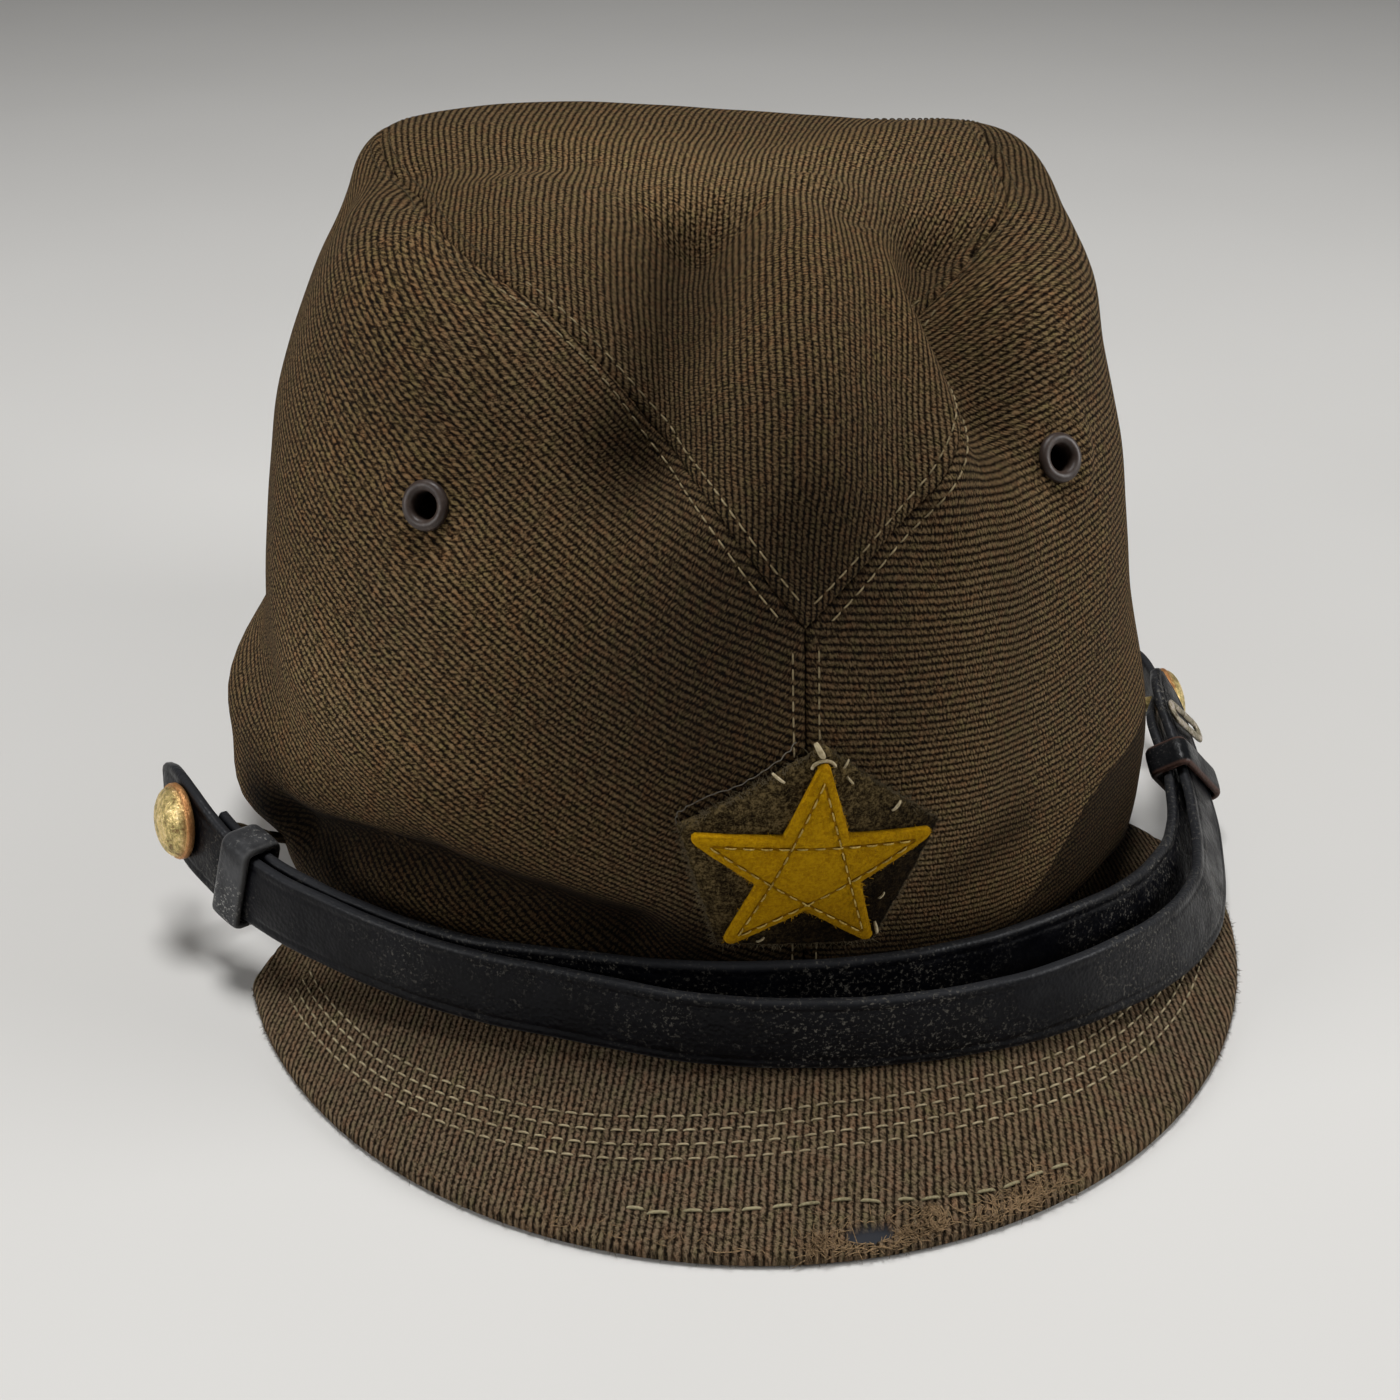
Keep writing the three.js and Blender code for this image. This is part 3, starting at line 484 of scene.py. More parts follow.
def shell(outer, inner, step, closed=False, tops=None):
    """Points and faces of a wall between a fine outer grid and an inner one with one point for each step."""
    points = [outer.reshape(-1, 3), inner.reshape(-1, 3)]
    fine = np.arange(outer.shape[0] * outer.shape[1]).reshape(outer.shape[:2])
    coarse = fine.size + np.arange(inner.shape[0] * inner.shape[1]).reshape(inner.shape[:2])
    faces = grid_faces(fine, closed)
    faces += [quad[::-1] for quad in grid_faces(coarse, closed)]
    ring = (lambda line: np.append(line, line[0])) if closed else (lambda line: line)
    faces += edge_faces(ring(fine[:, 0]), ring(coarse[:, 0]), step)
    if tops is None:
        faces += [face[::-1] for face in edge_faces(ring(fine[:, -1]), ring(coarse[:, -1]), step)]
    else:
        apex = fine.size + coarse.size
        points.append(np.array(tops, float))
        for line, top, order in ((fine[:, -1], apex, 1), (coarse[:, -1], apex + 1, -1)):
            pairs = zip(line.tolist(), np.roll(line, -1).tolist())
            faces += [[a, b, top][::order] for a, b in pairs]
    if not closed:
        faces += [face[::-1] for face in edge_faces(fine[0], coarse[0], step)]
        faces += edge_faces(fine[-1], coarse[-1], step)
    return np.concatenate(points), faces


def piece(name, mesh, material, replaces=()):
    """A smooth piece that rides on the part, none of it below the floor, from points, faces, uv and shade."""
    points, faces, uv, shade = (*mesh, None, None)[:4]
    data = bpy.data.meshes.new(name)
    placed = (points + SHIFT) * MM
    placed[:, 2] = np.maximum(placed[:, 2], 0)
    data.from_pydata(placed.tolist(), [], faces)
    data.polygons.foreach_set("use_smooth", np.ones(len(data.polygons), bool))
    if uv is not None:
        layer = data.uv_layers.new(name=UV_NAME)
        corner = np.empty(len(data.loops), np.int32)
        data.loops.foreach_get("vertex_index", corner)
        layer.data.foreach_set("uv", uv[corner].astype(np.float32).ravel())
    if shade is not None:
        values = data.attributes.new(SHADE_NAME, "FLOAT", "POINT")
        values.data.foreach_set("value", np.asarray(shade, np.float32).ravel())
    data.materials.append(material)
    made = bpy.data.objects.new(name, data)
    bpy.context.scene.collection.objects.link(made)
    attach(made, "root")
    if replaces:
        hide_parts(*replaces)
    return made


def lathe(profile, foot, axis, steps):
    """Points and faces of a profile of radius and height turned round an axis, closed on itself."""
    side = unit(np.cross(axis, (0.3, 0.5, 0.8)))
    other = np.cross(axis, side)
    turn = np.linspace(0, 2 * math.pi, steps, endpoint=False)
    spoke = np.cos(turn)[:, None] * side + np.sin(turn)[:, None] * other
    profile = np.asarray(profile, float)
    rise = profile[:, 1][None, :, None] * axis
    points = foot + spoke[:, None, :] * profile[:, 0][None, :, None] + rise
    index = np.arange(steps * len(profile)).reshape(steps, len(profile))
    closed = np.concatenate([index, index[:, :1]], axis=1)
    return points.reshape(-1, 3), grid_faces(closed, closed=True)


def merge(*parts):
    """One set of points and faces from several."""
    points = []
    faces = []
    start = 0
    for some_points, some_faces in parts:
        points.append(some_points)
        faces += [[i + start for i in face] for face in some_faces]
        start += len(some_points)
    return np.concatenate(points), faces


# Threads: every stitch is a small bent tube
def tubes(lines, radii, sides):
    """Tubes along lines, shaped (tubes, points, 3), with a radius for each point of each tube."""
    count, steps = lines.shape[:2]
    along = unit(np.gradient(lines, axis=1))
    side = unit(np.cross(along, np.array((0.21, 0.34, 0.92))))
    other = np.cross(along, side)
    turn = np.linspace(0, 2 * math.pi, sides, endpoint=False)
    spoke = np.cos(turn)[:, None] * side[..., None, :] + np.sin(turn)[:, None] * other[..., None, :]
    points = lines[:, :, None, :] + spoke * radii[..., None, None]
    index = np.arange(count * steps * sides).reshape(count, steps, sides)
    here = index[:, :-1]
    there = index[:, 1:]
    quads = np.stack([here, np.roll(here, -1, 2), np.roll(there, -1, 2), there], axis=-1)
    faces = quads.reshape(-1, 4).tolist()
    faces += index[:, 0, ::-1].tolist()
    faces += index[:, -1].tolist()
    return points.reshape(-1, 3), faces


def stitches(starts, ends, normals, radius, height):
    """Stitches that rise out of the cloth, lie on it and go back in."""
    t = np.array((0, 0.12, 0.35, 0.65, 0.88, 1))
    lift = np.array((-0.6, 0.55, 1, 1, 0.55, -0.6)) * height
    lines = starts[:, None] + (ends - starts)[:, None] * t[:, None] + normals[:, None] * lift[:, None]
    radii = np.broadcast_to(radius * np.array((0.5, 0.9, 1, 1, 0.9, 0.5)), lines.shape[:2])
    return tubes(lines, radii, 6)


def along_line(line, normals, length, gap, offset=0.0):
    """Starts, ends and normals of stitches of a length, with gaps, along a line of points."""
    run = np.concatenate([[0], np.cumsum(np.linalg.norm(np.diff(line, axis=0), axis=1))])
    begin = np.arange(offset, run[-1] - length, length + gap)

    def at(distance, values):
        return np.stack([np.interp(distance, run, values[:, k]) for k in range(3)], axis=-1)

    return at(begin, line), at(begin + length, line), unit(at(begin + length / 2, normals))


def fibres(roots, heading, lengths, radius, chance, curl=0.45):
    """Loose hairs that start at roots, follow a heading and curl away from it by chance."""
    t = np.linspace(0, 1, 5)
    bend = chance.normal(0, curl, roots.shape)
    run = (lengths[:, None] * t)[..., None]
    lines = roots[:, None] + heading[:, None] * run + bend[:, None] * run * t[:, None]
    return tubes(lines, np.broadcast_to(radius * (1 - 0.6 * t), lines.shape[:2]), 4)


# Materials
UV_NAME = "Cloth"
SHADE_NAME = "Shade"


class Shader:
    """A material with short ways to add its nodes."""

    def __init__(self, name):
        self.material = bpy.data.materials.new(name)
        self.material.use_nodes = True
        self.tree = self.material.node_tree
        self.surface = self.tree.nodes["Principled BSDF"]

    def put(self, socket, value):
        if isinstance(value, bpy.types.NodeSocket):
            self.tree.links.new(value, socket)
        else:
            socket.default_value = value

    def math(self, operation, *values):
        node = self.tree.nodes.new("ShaderNodeMath")
        node.operation = operation
        for socket, value in zip(node.inputs, values):
            self.put(socket, value)
        return node.outputs[0]

    def noise(self, vector, scale, detail=2.0, roughness=0.5):
        node = self.tree.nodes.new("ShaderNodeTexNoise")
        self.put(node.inputs["Vector"], vector)
        node.inputs["Scale"].default_value = scale
        node.inputs["Detail"].default_value = detail
        node.inputs["Roughness"].default_value = roughness
        return node.outputs["Fac"]

    def chance(self, number):
        """A value from 0 to 1 that is random, and the same for equal numbers."""
        node = self.tree.nodes.new("ShaderNodeTexWhiteNoise")
        node.noise_dimensions = "1D"
        self.put(node.inputs["W"], number)
        return node.outputs["Value"]

    def vector(self, *values):
        node = self.tree.nodes.new("ShaderNodeCombineXYZ")
        for socket, value in zip(node.inputs, values):
            self.put(socket, value)
        return node.outputs[0]

    def turned(self, right, up, angle):
        """Places along and across a direction at an angle."""
        cos = math.cos(angle)
        sin = math.sin(angle)
        along = self.math("MULTIPLY_ADD", up, sin, self.math("MULTIPLY", right, cos))
        across = self.math("MULTIPLY_ADD", up, cos, self.math("MULTIPLY", right, -sin))
        return along, across

    def cells(self, vector, scale):
        node = self.tree.nodes.new("ShaderNodeTexVoronoi")
        self.put(node.inputs["Vector"], vector)
        node.inputs["Scale"].default_value = scale
        return node.outputs["Distance"]

    def spread(self, value, low, high, to_low=0.0, to_high=1.0):
        node = self.tree.nodes.new("ShaderNodeMapRange")
        node.interpolation_type = "SMOOTHSTEP"
        for socket, number in zip(node.inputs, (value, low, high, to_low, to_high)):
            self.put(socket, number)
        return node.outputs["Result"]

    def ramp(self, factor, *stops):
        node = self.tree.nodes.new("ShaderNodeValToRGB")
        self.put(node.inputs["Fac"], factor)
        while len(node.color_ramp.elements) < len(stops):
            node.color_ramp.elements.new(0.5)
        for element, (place, colour) in zip(node.color_ramp.elements, stops):
            element.position = place
            element.color = (*colour, 1)
        return node.outputs["Color"]

    def mix(self, factor, first, second, blend="MIX"):
        node = self.tree.nodes.new("ShaderNodeMix")
        node.data_type = "RGBA"
        node.blend_type = blend
        self.put(node.inputs["Factor"], factor)
        for socket, value in ((node.inputs[6], first), (node.inputs[7], second)):
            self.put(socket, (*value, 1) if isinstance(value, tuple) else value)
        return node.outputs[2]

    def shade(self):
        """The mesh's own mark, up to 1: painted shade on the crown and the badge, the worn hole of the peak
        and the copper edge of the buttons; and down to -1, painted light on the crown.
        """
        node = self.tree.nodes.new("ShaderNodeAttribute")
        node.attribute_name = SHADE_NAME
        return node.outputs["Fac"]

    def place(self):
        """Position in the object's own space, in metres."""
        return self.tree.nodes.new("ShaderNodeTexCoord").outputs["Object"]

    def cloth(self):
        """Along and across places on the cloth, in millimetres, and both as a vector."""
        uv = self.tree.nodes.new("ShaderNodeUVMap")
        uv.uv_map = UV_NAME
        split = self.tree.nodes.new("ShaderNodeSeparateXYZ")
        self.put(split.inputs[0], uv.outputs[0])
        return split.outputs[0], split.outputs[1], uv.outputs[0]

    def bump(self, height, distance, strength=1.0, before=None):
        node = self.tree.nodes.new("ShaderNodeBump")
        node.inputs["Strength"].default_value = strength
        node.inputs["Distance"].default_value = distance
        self.put(node.inputs["Height"], height)
        if before is not None:
            self.put(node.inputs["Normal"], before)
        return node.outputs[0]

    def finish(self, colour, roughness, normal=None, shine=0.5, metal=0.0):
        for name, value in (("Base Color", colour), ("Roughness", roughness), ("Normal", normal)):
            if value is not None:
                self.put(self.surface.inputs[name], value)
        self.surface.inputs["Specular IOR Level"].default_value = shine
        self.surface.inputs["Metallic"].default_value = metal
        return self.material


RIB_PITCH = 1.1
TWIST_PITCH = 0.95
# Gain of the painted light on raised places of the crown
PAINTED_LIGHT_GAIN = (1.86, 1.94, 1.98)
GREEN_TINT = (0.95, 1.08, 0.9)
RED_TINT = (1.12, 0.92, 0.85)
RIB_RELIEF = 0.4 * MM


def twill(name, groove, body, crest, wear, marked, blend, twisted):
    """Wool with raised ribs, each one twisted like a cord, painted shade between the ribs and painted light
    on them, fuzz on top, uneven fading, and marked places: painted shade and painted light on the crown, the
    worn hole on the peak.
    """
    shader = Shader(name)
    place = shader.place()
    along, across, cloth = shader.cloth()
    sway = shader.math("MULTIPLY", shader.noise(cloth, 0.06, 1.0), 0.9)
    jitter = shader.math("MULTIPLY_ADD", shader.noise(cloth, 0.9, 3.0, 0.65), 0.5, sway)
    rib = shader.math("DIVIDE", shader.math("ADD", across, jitter), RIB_PITCH)
    ridge = shader.math("ABSOLUTE", shader.math("SINE", shader.math("MULTIPLY", rib, math.pi)))
    round_ridge = shader.math("POWER", ridge, 0.95)
    own_phase = shader.chance(shader.math("FLOOR", rib))
    wander = shader.math("MULTIPLY_ADD", shader.noise(cloth, 0.5, 2.0, 0.6), 1.2, own_phase)
    lean = shader.math("MULTIPLY_ADD", shader.math("FRACT", rib), 0.8, wander)
    turns = shader.math("ADD", shader.math("DIVIDE", along, TWIST_PITCH), lean)
    twist = shader.math("SINE", shader.math("MULTIPLY", turns, 2 * math.pi))
    strands = shader.vector(
        shader.math("MULTIPLY_ADD", along, 2.8, shader.math("MULTIPLY", across, 2.0)),
        shader.math("MULTIPLY_ADD", across, 1.3, shader.math("MULTIPLY", along, -0.6)),
    )
    fuzz = shader.noise(strands, 0.75, 3.0, 0.75)
    cord = shader.math("MULTIPLY", round_ridge, shader.math("MULTIPLY_ADD", twist, twisted, 1 - twisted))
    bridges = shader.spread(shader.noise(strands, 0.5, 2.0, 0.6), 0.52, 0.66, 0.0, 0.4)
    cord = shader.math("MAXIMUM", cord, bridges)
    height = shader.math("ADD", cord, shader.math("MULTIPLY_ADD", fuzz, 3.2, -1.6))
    # The ramp follows the rib height: the groove colour is painted shade between the ribs and the crest
    # colour painted light on their tops
    colour = shader.ramp(height, (0.14, groove), (0.5, body), (1.0, crest))
    light_fleck = shader.spread(shader.noise(strands, 0.8, 3.0, 0.7), 0.52, 0.66, 0.0, 0.75)
    dark_fleck = shader.spread(shader.noise(strands, 0.65, 3.0, 0.7), 0.46, 0.33, 0.0, 0.75)
    colour = shader.mix(shader.math("MULTIPLY", light_fleck, round_ridge), colour, crest)
    colour = shader.mix(dark_fleck, colour, groove)
    patches = shader.spread(shader.noise(place, 26.0, 4.0, 0.6), 0.3, 0.72)
    colour = shader.mix(patches, colour, shader.mix(0.6, colour, wear, "OVERLAY"))
    dye = shader.noise(cloth, 0.35, 4.0, 0.7)
    tint = shader.ramp(dye, (0.3, GREEN_TINT), (0.5, (1, 1, 1)), (0.7, RED_TINT))
    colour = shader.mix(1.0, colour, tint, "MULTIPLY")
    specks = shader.spread(shader.noise(cloth, 1.1, 3.0, 0.8), 0.66, 0.8, 0.0, 0.5)
    colour = shader.mix(specks, colour, crest)
    tone = shader.shade()
    # Below 0 the mesh's mark is painted light that lifts the colour; above 0 it is painted shade that takes
    # the colour towards marked (on the peak, the hole's board colour)
    worn = shader.math("MAXIMUM", shader.math("MULTIPLY", tone, -1.0), 0.0)
    shade = shader.math("MAXIMUM", tone, 0.0)
    colour = shader.mix(worn, colour, PAINTED_LIGHT_GAIN, "MULTIPLY")
    colour = shader.mix(shade, colour, marked, blend)
    relief = shader.math("MULTIPLY", height, shader.math("SUBTRACT", 1.0, shade))
    normal = shader.bump(relief, RIB_RELIEF)
    return shader.finish(colour, 0.95, normal, shine=0.08)


def sewn_lines(shader, reach):
    """1 along the lines from tip to tip of the star, where the stitches pull the felt in."""
    right, up = shader.cloth()[:2]
    point_turn = 2 * math.pi / BADGE_POINTS
    away = reach * math.cos(point_turn)
    half_long = reach * math.sin(point_turn)
    lines = 0.0
    for k in range(BADGE_POINTS):
        across, along = shader.turned(right, up, badge_angle(k / BADGE_POINTS))
        off = shader.math("ABSOLUTE", shader.math("SUBTRACT", across, away))
        near = shader.spread(off, 0.06, 0.3, 1.0, 0.0)
        ends = shader.spread(shader.math("ABSOLUTE", along), half_long - 0.6, half_long, 1.0, 0.0)
        lines = shader.math("MAXIMUM", lines, shader.math("MULTIPLY", near, ends))
    return lines


FELT_STRANDS = (10, 55, 100, 145)
FELT_SHADE_COLOUR = (0.12, 0.1, 0.09)
FELT_SEWN_GROOVE_SHADE = (0.55, 0.48, 0.4)


def felt(name, dark, body, light, sewn_reach=0.0):
    """Pressed wool with matted fibres and no weave, with painted shade where the mesh marks it and along the
    sewn lines.
    """
    shader = Shader(name)
    place = shader.place()
    right, up = shader.cloth()[:2]
    mat = shader.noise(place, 1500.0, 4.0, 0.75)
    soft = shader.noise(place, 260.0, 3.0, 0.6)
    tone = shader.math("ADD", shader.math("MULTIPLY", mat, 0.75), shader.math("MULTIPLY", soft, 0.25))
    strands = 0.0
    for heading in FELT_STRANDS:
        along, across = shader.turned(right, up, math.radians(heading))
        long = shader.math("MULTIPLY", along, 0.9)
        wide = shader.math("MULTIPLY", across, 4.5)
        hair = shader.noise(shader.vector(long, wide, heading), 1.0, 2.0, 0.6)
        strands = shader.math("MAXIMUM", strands, shader.spread(hair, 0.58, 0.68))
    colour = shader.ramp(tone, (0.41, dark), (0.5, body), (0.6, light))
    colour = shader.mix(shader.math("MULTIPLY", strands, 0.5), colour, light)
    # Painted shade, darker towards the bottom of the badge
    colour = shader.mix(shader.shade(), colour, FELT_SHADE_COLOUR, "MULTIPLY")
    tone = shader.math("MULTIPLY_ADD", strands, 0.15, tone)
    height = tone
    if sewn_reach:
        lines = sewn_lines(shader, sewn_reach)
        # Painted shade in the grooves that the stitches pull into the felt
        colour = shader.mix(lines, colour, FELT_SEWN_GROOVE_SHADE, "MULTIPLY")
        height = shader.math("MULTIPLY_ADD", lines, -0.6, tone)
    normal = shader.bump(height, 0.0006, 0.8)
    return shader.finish(colour, 0.95, normal, shine=0.06)


def leather(name, dark, worn, speck, half_width, cut):
    """Black strap leather with a fine grain, scuffed patches of pale specks and worn grey edges, lightened on
    the strap as a painted highlight.
    """
    shader = Shader(name)
    place = shader.place()
    across = shader.math("ABSOLUTE", shader.cloth()[1])
    patches = shader.spread(shader.noise(place, 40.0, 4.0, 0.65), 0.38, 0.62)
    grains = shader.spread(shader.noise(place, 1500.0, 3.0, 0.75), 0.555, 0.65)
    scuff = shader.math("MULTIPLY", patches, grains)
    edge = shader.spread(across, half_width - 0.9, half_width - 0.1, 0.0, 0.8)
    haze = shader.spread(shader.noise(place, 90.0, 4.0, 0.6), 0.35, 0.75, 0.0, 0.55)
    colour = shader.mix(haze, dark, worn)
    # Worn edge colour, on the strap also a painted highlight along its edges
    colour = shader.mix(edge, colour, cut)
    colour = shader.mix(shader.math("MULTIPLY", scuff, 0.8), colour, speck)
    roughness = shader.spread(shader.noise(place, 160.0, 4.0, 0.6), 0.3, 0.7, 0.29, 0.52)
    pores = shader.cells(place, 1300.0)
    creases = shader.noise(place, 260.0, 4.0, 0.6)
    normal = shader.bump(pores, 0.00012, 0.5)
    normal = shader.bump(creases, 0.0004, 0.35, normal)
    return shader.finish(colour, roughness, normal, shine=0.12)


COPPER = (0.5, 0.2, 0.07)


def brass(name, gain, metal):
    """Worn brass: mottled green and brown tarnish, small bright spots, and copper along a marked edge."""
    shader = Shader(name)
    place = shader.place()
    blotch = shader.noise(place, 420.0, 4.0, 0.7)
    fine = shader.noise(place, 1500.0, 3.0, 0.65)
    tone = shader.math("MULTIPLY_ADD", fine, 0.4, shader.math("MULTIPLY", blotch, 0.6))
    colour = shader.ramp(
        tone,
        (0.36, (0.1, 0.055, 0.018)),
        (0.45, (0.23, 0.185, 0.065)),
        (0.54, (0.42, 0.32, 0.125)),
        (0.66, (0.62, 0.5, 0.26)),
    )
    colour = shader.mix(1.0, colour, gain, "MULTIPLY")
    colour = shader.mix(shader.shade(), colour, COPPER)
    roughness = shader.spread(fine, 0.3, 0.7, 0.62, 0.34)
    normal = shader.bump(tone, 0.0007, 0.8)
    return shader.finish(colour, roughness, normal, metal=metal)


def enamel(name, colour, chip):
    """Brown lacquer on metal, rubbed in small spots."""
    shader = Shader(name)
    place = shader.place()
    rub = shader.spread(shader.noise(place, 420.0, 4.0, 0.7), 0.52, 0.72, 0.0, 0.8)
    roughness = shader.spread(shader.noise(place, 300.0, 3.0), 0.3, 0.7, 0.4, 0.6)
    normal = shader.bump(shader.noise(place, 700.0, 3.0), 0.0002, 0.4)
    return shader.finish(shader.mix(rub, colour, chip), roughness, normal, shine=0.4)


def thread(name, dark, light):
    """Cotton thread, finely mottled and unevenly aged."""
    shader = Shader(name)
    place = shader.place()
    mottle = shader.noise(place, 2600.0, 2.0, 0.6)
    age = shader.noise(place, 120.0, 3.0, 0.6)
    tone = shader.math("ADD", shader.math("MULTIPLY", mottle, 0.5), shader.math("MULTIPLY", age, 0.5))
    colour = shader.ramp(tone, (0.35, dark), (0.65, light))
    normal = shader.bump(mottle, 0.00015, 0.6)
    return shader.finish(colour, 0.9, normal, shine=0.12)


WOOL = twill(
    "wool_twill",
    groove=(0.006, 0.0035, 0.0015),
    body=(0.046, 0.0272, 0.0118),
    crest=(0.245, 0.166, 0.086),
    wear=(0.6, 0.56, 0.48),
    # marked is the colour of the painted shade, multiplied in
    marked=(0.07, 0.062, 0.056),
    blend="MULTIPLY",
    twisted=0.17,
)
PEAK_WOOL = twill(
    "peak_twill",
    groove=(0.0105, 0.007, 0.0037),
    body=(0.053, 0.0355, 0.02),
    crest=(0.222, 0.161, 0.102),
    wear=(0.62, 0.57, 0.5),
    marked=(0.034, 0.036, 0.042),
    blend="MIX",
    twisted=0.05,
)
STAR_SEWN_REACH = 0.86 * STAR_RADIUS
PATCH_FELT = felt("patch_felt", (0.0075, 0.0047, 0.0017), (0.034, 0.0225, 0.0086), (0.165, 0.118, 0.05))
STAR_FELT = felt(
    "star_felt", (0.32, 0.155, 0.0012), (0.41, 0.213, 0.0016), (0.5, 0.275, 0.003), STAR_SEWN_REACH
)
FIBRE = thread("loose_fibre", (0.04, 0.029, 0.015), (0.17, 0.135, 0.08))
WOOL_FIBRE = thread("wool_fibre", (0.03, 0.02, 0.01), (0.12, 0.085, 0.05))
STAR_FIBRE = thread("star_fibre", (0.32, 0.16, 0.002), (0.48, 0.26, 0.006))
GINGER_FIBRE = thread("ginger_fibre", (0.07, 0.044, 0.022), (0.36, 0.24, 0.13))
LOOP_EDGE = 3.2
STRAP_LEATHER = leather(
    "strap_leather",
    dark=(0.0009, 0.001, 0.002),
    worn=(0.0045, 0.0048, 0.0074),
    speck=(0.14, 0.13, 0.11),
    half_width=STRAP_WIDTH / 2,
    # cut is worn edge, lightened also as a painted highlight along the strap's edges
    cut=(0.028, 0.029, 0.032),
)
LOOP_LEATHER = leather(
    "loop_leather",
    dark=(0.017, 0.0173, 0.019),
    worn=(0.115, 0.116, 0.12),
    speck=(0.5, 0.49, 0.45),
    half_width=LOOP_EDGE,
    cut=(0.09, 0.09, 0.09),
)
KEEPER_LEATHER = leather(
    "keeper_leather",
    dark=(0.007, 0.0074, 0.0084),
    worn=(0.019, 0.0197, 0.021),
    speck=(0.12, 0.11, 0.1),
    half_width=LOOP_EDGE,
    cut=(0.1, 0.055, 0.042),
)
BRASS = brass("worn_brass", (1.8, 1.78, 1.9), 0.7)
PALE_BRASS = brass("pale_brass", (0.8, 0.88, 1.6), 0.3)
ENAMEL = enamel("eyelet_enamel", (0.034, 0.0215, 0.0165), (0.076, 0.053, 0.042))
TAN_THREAD = thread("tan_thread", (0.12, 0.09, 0.045), (0.33, 0.26, 0.15))
ROW_THREAD = thread("row_thread", (0.17, 0.135, 0.075), (0.42, 0.35, 0.22))
PALE_THREAD = thread("pale_thread", (0.26, 0.205, 0.11), (0.58, 0.49, 0.32))
KHAKI_THREAD = thread("khaki_thread", (0.15, 0.128, 0.07), (0.38, 0.33, 0.2))
GOLD_THREAD = thread("gold_thread", (0.2, 0.12, 0.012), (0.56, 0.41, 0.12))
GREY_THREAD = thread("grey_thread", (0.05, 0.043, 0.033), (0.2, 0.175, 0.14))
# A darker copy of the tan thread, as painted shade on the rear rows of stitches
SHADED_THREAD = thread("shaded_thread", (0.035, 0.025, 0.012), (0.1, 0.075, 0.04))
BROWN_THREAD = thread("brown_thread", (0.02, 0.014, 0.008), (0.07, 0.05, 0.03))


# Crown panels
SIDE_STEPS = 320
SIDE_ROWS = 112
TOP_HALF_STEPS = 200
TOP_ROWS = 72
INNER_STEP = 4
COARSE = (slice(None, None, INNER_STEP), slice(None, None, INNER_STEP))

# Painted shade at the foot of the crown, under its overhang: where it begins, how dark it gets and over what
# height
PAINTED_BASE_SHADE = table(
    "around height depth soft",
    (-100, 15, 0, 8),
    (-84, 20, 0.4, 9),
    (-72, 27, 0.6, 10),
    (-55, 38, 0.68, 11),
    (-40, 43, 0.72, 13),
    (-22, 44, 0.82, 17),
    (-8, 45, 0.9, 20),
    (8, 43, 0.88, 19),
    (18, 35, 0.8, 12),
    (26, 30, 0.75, 5),
    (35, 42, 0.85, 3),
    (50, 43, 0.85, 3),
    (62, 42, 0.8, 5),
    (80, 37, 0.45, 12),
    (105, 30, 0, 14),
)

# Painted shade in folds and creases, and painted light on raised places with a minus: radius, depth and path
# of each
# The dark band under the left bulge is a painted shadow
LEFT_PAINTED_SHADOW = ((-85, -18, 22), (-72, -36, 28), (-57, -69, 39), (-46, -79, 40), (-37, -84, 37), (-19, -89, 32))
PAINTED_SHADE_AND_LIGHT = (
    (6, 0.85, LEFT_GROOVE),
    (9, 0.95, LEFT_PAINTED_SHADOW),
    (4.5, 0.6, ((36, -87, 46), (29, -89, 43), (23, -91, 38))),
    (9, 0.58, LEFT_VALLEY),
    (7, 0.35, RIGHT_VALLEY),
    (14, 0.58, ((0, -88, 112), (1, -92, 98))),
    (19, 0.67, ((-15, -96, 90), (-15, -96, 70))),
    (9, 0.38, ((11, -96, 90), (13, -96, 72))),
    (16, 0.32, ((-56, -44, 114), (-62, -30, 112))),
    (12, 0.32, ((-44, -70, 108), (-52, -62, 108))),
    (34, -0.55, ((2, 4, 129), (4, -8, 129))),
    (20, -0.5, ((-76, -42, 52), (-70, -52, 56))),
    (20, -0.25, ((-44, -78, 85), (-50, -74, 80))),
    (20, -0.3, ((31, -88, 84), (34, -90, 58))),
)

# Ribs of the top and the peak run to the back and a little towards +X
TOP_RIB_LEAN = 0.24
TOP_RIB_FAN = 0.003
TOP_RIB_PITCH = 1.06
TOP_HEIGHT = 128
TOP_MIDDLE = 30
PEAK_RIB_LEAN = 0.28
PEAK_RIB_FAN = 0.003
PEAK_RIB_PITCH = 1.26

# Rise of the ribs towards the back of each side panel, by distance from the front seam
PANEL_RIB_PITCH = {-1: 1.32, 1: 1.13}
RIB_RISE = {
    -1: table(
        "distance rise",
        (0, 0.36),
        (25, 0.46),
        (55, 0.5),
        (85, 0.36),
        (115, 0.2),
        (150, 0.12),
        (300, 0.1),
    ),
    1: table(
        "distance rise",
        (0, -0.16),
        (25, -0.12),
        (45, -0.04),
        (65, -0.02),
        (85, -0.08),
        (120, -0.16),
        (160, -0.1),
        (300, 0.1),
    ),
}


def dense_ends(count):
    """Places from 0 to 1 that lie closer together at both ends."""
    t = np.linspace(0, 1, count + 1)
    return 0.6 * t + 0.4 * (1 - np.cos(math.pi * t)) / 2


def unevenness(s, t):
    """Small swells of worn cloth, in millimetres."""
    slow = np.sin(s / 9.7 + 1.2 * np.sin(t / 13.1)) * np.sin(t / 8.3 + 0.9 * np.sin(s / 17.9))
    quick = np.sin(s / 4.1 + t / 6.7 + 1.7) * np.sin(t / 3.7 - s / 9.1)
    return 0.16 * slow + 0.06 * quick


